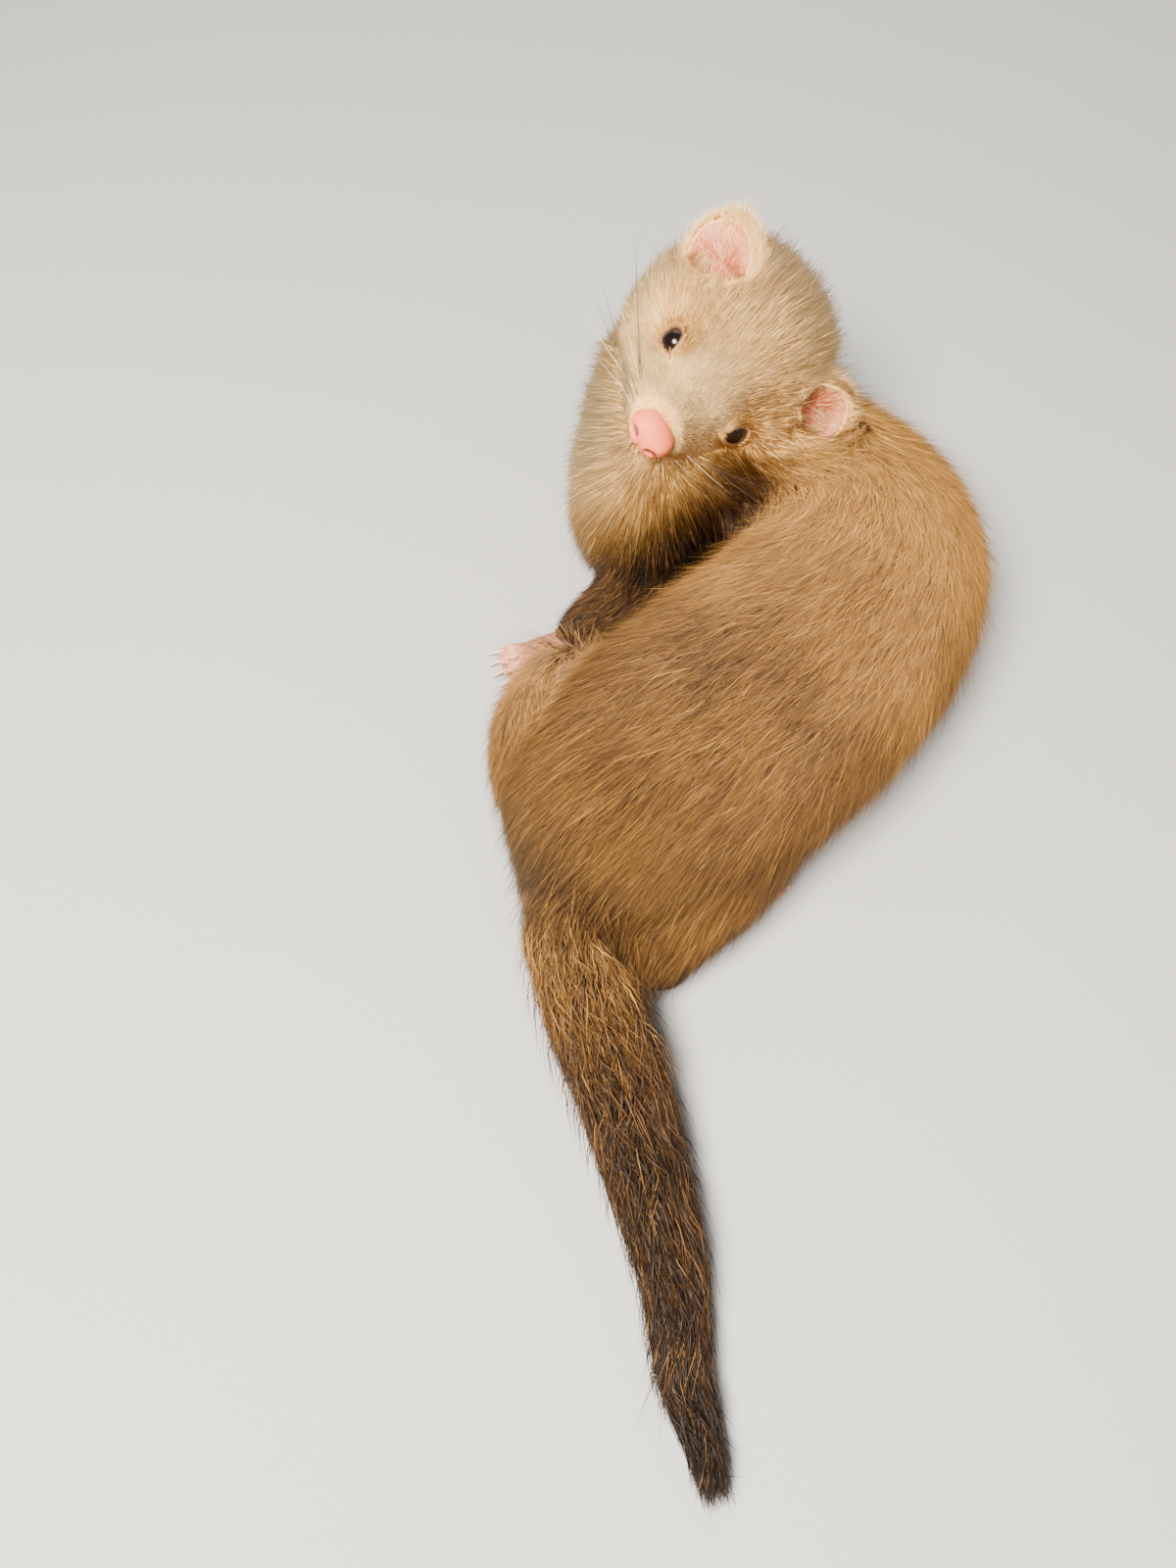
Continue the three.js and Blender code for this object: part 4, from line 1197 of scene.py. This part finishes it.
def strands(name, lines, slot, material, closed=False, **inputs):
    """Gives each line of points a round, tapered body."""
    mesh = bpy.data.meshes.new(name)
    spots, links, shares = [], [], []
    for line in lines:
        first = len(spots)
        spots += [tuple(p * MM) for p in np.asarray(line)]
        links += [(first + i, first + i + 1) for i in range(len(line) - 1)]
        if closed:
            links.append((len(spots) - 1, first))
        shares += list(np.linspace(0, 1, len(line)))
    mesh.from_pydata(spots, links, [])
    keep(mesh, "share", np.array(shares))
    holder = bpy.data.objects.new(name, mesh)
    bpy.context.scene.collection.objects.link(holder)
    body = holder.modifiers.new("body", "NODES")
    body.node_group = STRAND
    inputs["Finish"] = material
    for socket in STRAND.interface.items_tree:
        if socket.in_out == "INPUT" and socket.name in inputs:
            body[socket.identifier] = inputs[socket.name]
    seen = holder.evaluated_get(bpy.context.evaluated_depsgraph_get())
    made = bpy.data.meshes.new_from_object(seen)
    made.name = name
    bpy.data.objects.remove(holder)
    return place_piece(name, made, material, slot)


def whisker_lines(rows, reach, droop, fan, tree):
    """Whiskers rooted on the skin near each given place of the head, on both sides."""
    lines = []
    for x, y, z, long in rows:
        for side in (1, -1):
            near = from_head((x + chance.uniform(-0.4, 0.4), side * y, z + chance.uniform(-0.4, 0.4)))
            root, normal, _, _ = tree.find_nearest(Vector(near))
            root, normal = np.array(root), np.array(normal)
            back = -HEAD[0] * fan[0] + HEAD[1] * side * fan[1] + HEAD[2] * fan[2]
            way = unit(normal * 0.9 + back + chance.normal(0, 0.12, 3))
            length = long * reach * chance.uniform(0.85, 1.12)
            t = np.linspace(0, 1, 9)[:, None]
            fall = -HEAD[2] * droop * t ** 2 * length - HEAD[0] * 0.22 * t ** 2 * length
            lines.append(root - normal * 0.5 + way * t * length + fall)
    return lines


def whiskers():
    tree = BVHTree.FromPolygons([Vector(p) for p in points], tris.tolist())
    dark = whisker_finish("whisker_dark", colour(44, 30, 24), colour(96, 70, 54))
    pale = whisker_finish("whisker_pale", colour(222, 196, 164), colour(244, 226, 200))
    pad = [(-7, 7, -3.5, 17), (-8.5, 7.8, -1.8, 22), (-10, 8.6, -4.2, 27), (-11.5, 9, -1.5, 31),
           (-12.5, 9.6, -5, 33), (-14, 9.6, -2.4, 36), (-15, 10.4, -5.6, 34), (-16.5, 10.6, -3.4, 38),
           (-9.5, 8, -6.2, 20), (-13, 9.4, -7, 25)]

    def grown(name, lines, slot, finish, thick, sides):
        strands(name, lines, slot, finish, Thickness=thick * MM, Taper=0.86, Fullness=1.4, Sides=sides)

    lines = whisker_lines(pad[::3], 0.75, 0.22, (0.8, 0.9, 0.05), tree)
    grown("whiskers_pale", lines, "coat_cream", pale, 0.085, 5)
    cheek = [(-33, 19, -2, 18), (-35, 20, -4, 22)]
    lines = whisker_lines(cheek + pad, 1.0, 0.16, (0.9, 0.5, 0.3), tree)
    grown("whiskers_dark", lines, "coat_dark", dark, 0.12, 5)
    chin = [(-12, 2.5, -12.4, 9), (-16, 3.2, -14.5, 11), (-20, 2.4, -16, 12)]
    lines = whisker_lines(chin, 1, 0.1, (0.9, 0.2, -0.4), tree)
    grown("whiskers_chin", lines, "coat_cream", pale, 0.07, 4)


def claws():
    lines = []
    for sizes in FEET.values():
        put = foot_places(sizes)
        for _, _, tip, way in toe_lines(sizes):
            t = np.linspace(0, 1, 8)[:, None]
            start = tip - way * 0.9 + (0, 0, 0.45)
            line = start + way * t * (CLAW_LONG + 0.6) + np.array([0, 0, 1]) * (0.5 * t - 1.75 * t * t)
            line[:, 2] = np.maximum(line[:, 2], 0.35 + 0.5 * (1 - t[:, 0]))
            lines.append(put(line))
    strands("claws", lines, "bare_skin", claw_finish(), Thickness=0.78 * MM, Taper=0.84, Fullness=1.7,
            Sides=10)


def eyes():
    wet = eye_finish()
    rims = []
    for side in EYES:
        middle, facing, to_nose, third = eye_frame(side)
        around, down = 48, 30
        turn = np.linspace(0, 2 * math.pi, around, endpoint=False)
        flat = np.outer(np.cos(turn), to_nose) + np.outer(np.sin(turn), third)
        rings, rim = [], []
        for a in np.linspace(0.05, math.pi - 0.05, down):
            bulge = EYE_R * (1 + 0.045 * math.exp(-(a / 0.55) ** 2))
            rings.append(middle + bulge * (math.cos(a) * facing + math.sin(a) * flat))
            rim += [min(a / 0.75, 1.0)] * around
        front = middle + facing * EYE_R * 1.045
        p, f = rings_form(rings, front, middle - facing * EYE_R)
        mesh = mesh_of(f"eye_{side}", p, f[:, ::-1])
        keep(mesh, "rim", np.array(rim + [0, 1.0]))
        place_piece(f"eye_{side}", mesh, wet, "eye", f"eye_{side}")
        angle = np.radians(lid_angle(turn) + 2.5)[:, None]
        rims.append(middle + (EYE_R + 0.12) * (np.cos(angle) * facing + np.sin(angle) * flat))
    f = Finish("lid_rim")
    base = f.mix(f.noise(700, 2), colour(58, 34, 30), colour(96, 58, 48))
    finish = f.finished(Base_Color=base, Roughness=0.38 + f.noise(900) * 0.1)
    strands("lid_rims", rims, "bare_skin", finish, closed=True, Thickness=0.32 * MM, Taper=0.0, Sides=8)


def nose_pad():
    """The nose with its nostrils, the groove below it and a softly squared top."""
    across, down = 72, 48
    u = np.linspace(0, 2 * math.pi, across, endpoint=False)
    v = np.linspace(0.04, math.pi - 0.04, down)
    round_way, tilt = np.meshgrid(u, v)
    way = np.stack([np.cos(tilt), np.sin(tilt) * np.cos(round_way), np.sin(tilt) * np.sin(round_way)], 2)
    way = np.concatenate([way.reshape(-1, 3), [(1, 0, 0), (-1, 0, 0)]])
    p = way * NOSE_R
    x, y, z = p.T
    dent = np.zeros(len(p))
    dark = np.zeros(len(p))
    for side in (1, -1):
        yy = y * side
        slot = np.exp(-(((yy - 3.3) / 1.25) ** 2 + ((z - 0.1) / 1.15) ** 2) ** 1.5) * (x > 0)
        tail = np.exp(-(((yy - 4.9) / 1.4) ** 2 + ((z + 0.2 + 0.5 * (yy - 4.6)) / 0.62) ** 2))
        hole = np.clip(slot * 1.5 + tail * 0.95, 0, 1)
        dent += 2.3 * slot + 1.3 * tail
        # Painted shade: the nostrils are darkened inside, where shade falls.
        dark += ease(hole, 0.4, 0.85)
        dent -= 0.45 * np.exp(-(((yy - 4) / 1.7) ** 2 + ((z - 2.4) / 1.2) ** 2))
    groove = np.exp(-(y / 0.55) ** 2) * ease(-z, -0.8, 2.5) * (x > -1)
    dent += 0.55 * groove
    # The groove under the nose is darkened too, painted shade in the groove.
    dark += 0.45 * groove
    pinch = 1 - 0.16 * ease(-z, 0.5, 4.5)
    p = p - way * dent[:, None]
    p[:, 1] *= pinch
    grid = from_head(p * PAD_SIZE + NOSE_MIDDLE)
    rings = grid[:-2].reshape(down, across, 3)
    points_, faces = rings_form(rings, grid[-2], grid[-1])
    mesh = mesh_of("nose_pad", points_, faces[:, ::-1])
    keep(mesh, "dark", dark)
    place_piece("nose_pad", mesh, nose_finish(), "bare_skin", "nose")


# Studio

def studio():
    scene = bpy.context.scene
    floor = bpy.data.objects.new("floor", bpy.data.meshes.new("floor"))
    floor.data.from_pydata([(-3, -3, 0), (3, -3, 0), (3, 3, 0), (-3, 3, 0)], [], [(0, 1, 2, 3)])
    floor.data.materials.append(floor_finish())
    scene.collection.objects.link(floor)
    floor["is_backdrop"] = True
    for name, place, size, power, shade in (
            ("key_light", (-0.3, -0.36, 0.8), 0.4, 46, (1, 0.915, 0.78)),
            ("fill_light", (0.7, -0.5, 0.7), 0.9, 2, (0.95, 0.97, 1)),
            ("back_light", (0.1, 0.9, 0.7), 0.8, 5, (1, 0.97, 0.93))):
        lamp = bpy.data.objects.new(name, bpy.data.lights.new(name, "AREA"))
        lamp.data.shape = "DISK"
        lamp.data.size = size
        lamp.data.energy = power
        lamp.data.color = shade
        lamp.location = place
        aim = Vector((0.0, 0.03, 0.03)) - lamp.location
        lamp.rotation_euler = aim.to_track_quat("-Z", "Y").to_euler()
        scene.collection.objects.link(lamp)
    world = bpy.data.worlds.new("studio")
    world.use_nodes = True
    world.node_tree.nodes["Background"].inputs["Color"].default_value = (0.93, 0.94, 0.96, 1)
    world.node_tree.nodes["Background"].inputs["Strength"].default_value = 0.32
    scene.world = world
    camera = bpy.data.objects.new("camera", bpy.data.cameras.new("camera"))
    camera.data.lens = 26
    camera.data.sensor_width = 36
    camera.location = (-0.035, -0.155, 0.308)
    camera.rotation_euler = (math.radians(28), 0, 0)
    camera.data.clip_start = 0.01
    scene.collection.objects.link(camera)
    scene.camera = camera


build_skin()
for piece, (nodes, count, length, width, varied) in COAT.items():
    coat_piece(piece, nodes, count, length, width, varied)
eyes()
nose_pad()
claws()
whiskers()
studio()
sizes = {"cad": CAD_BOX, "visual": [list(corner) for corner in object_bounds()]}
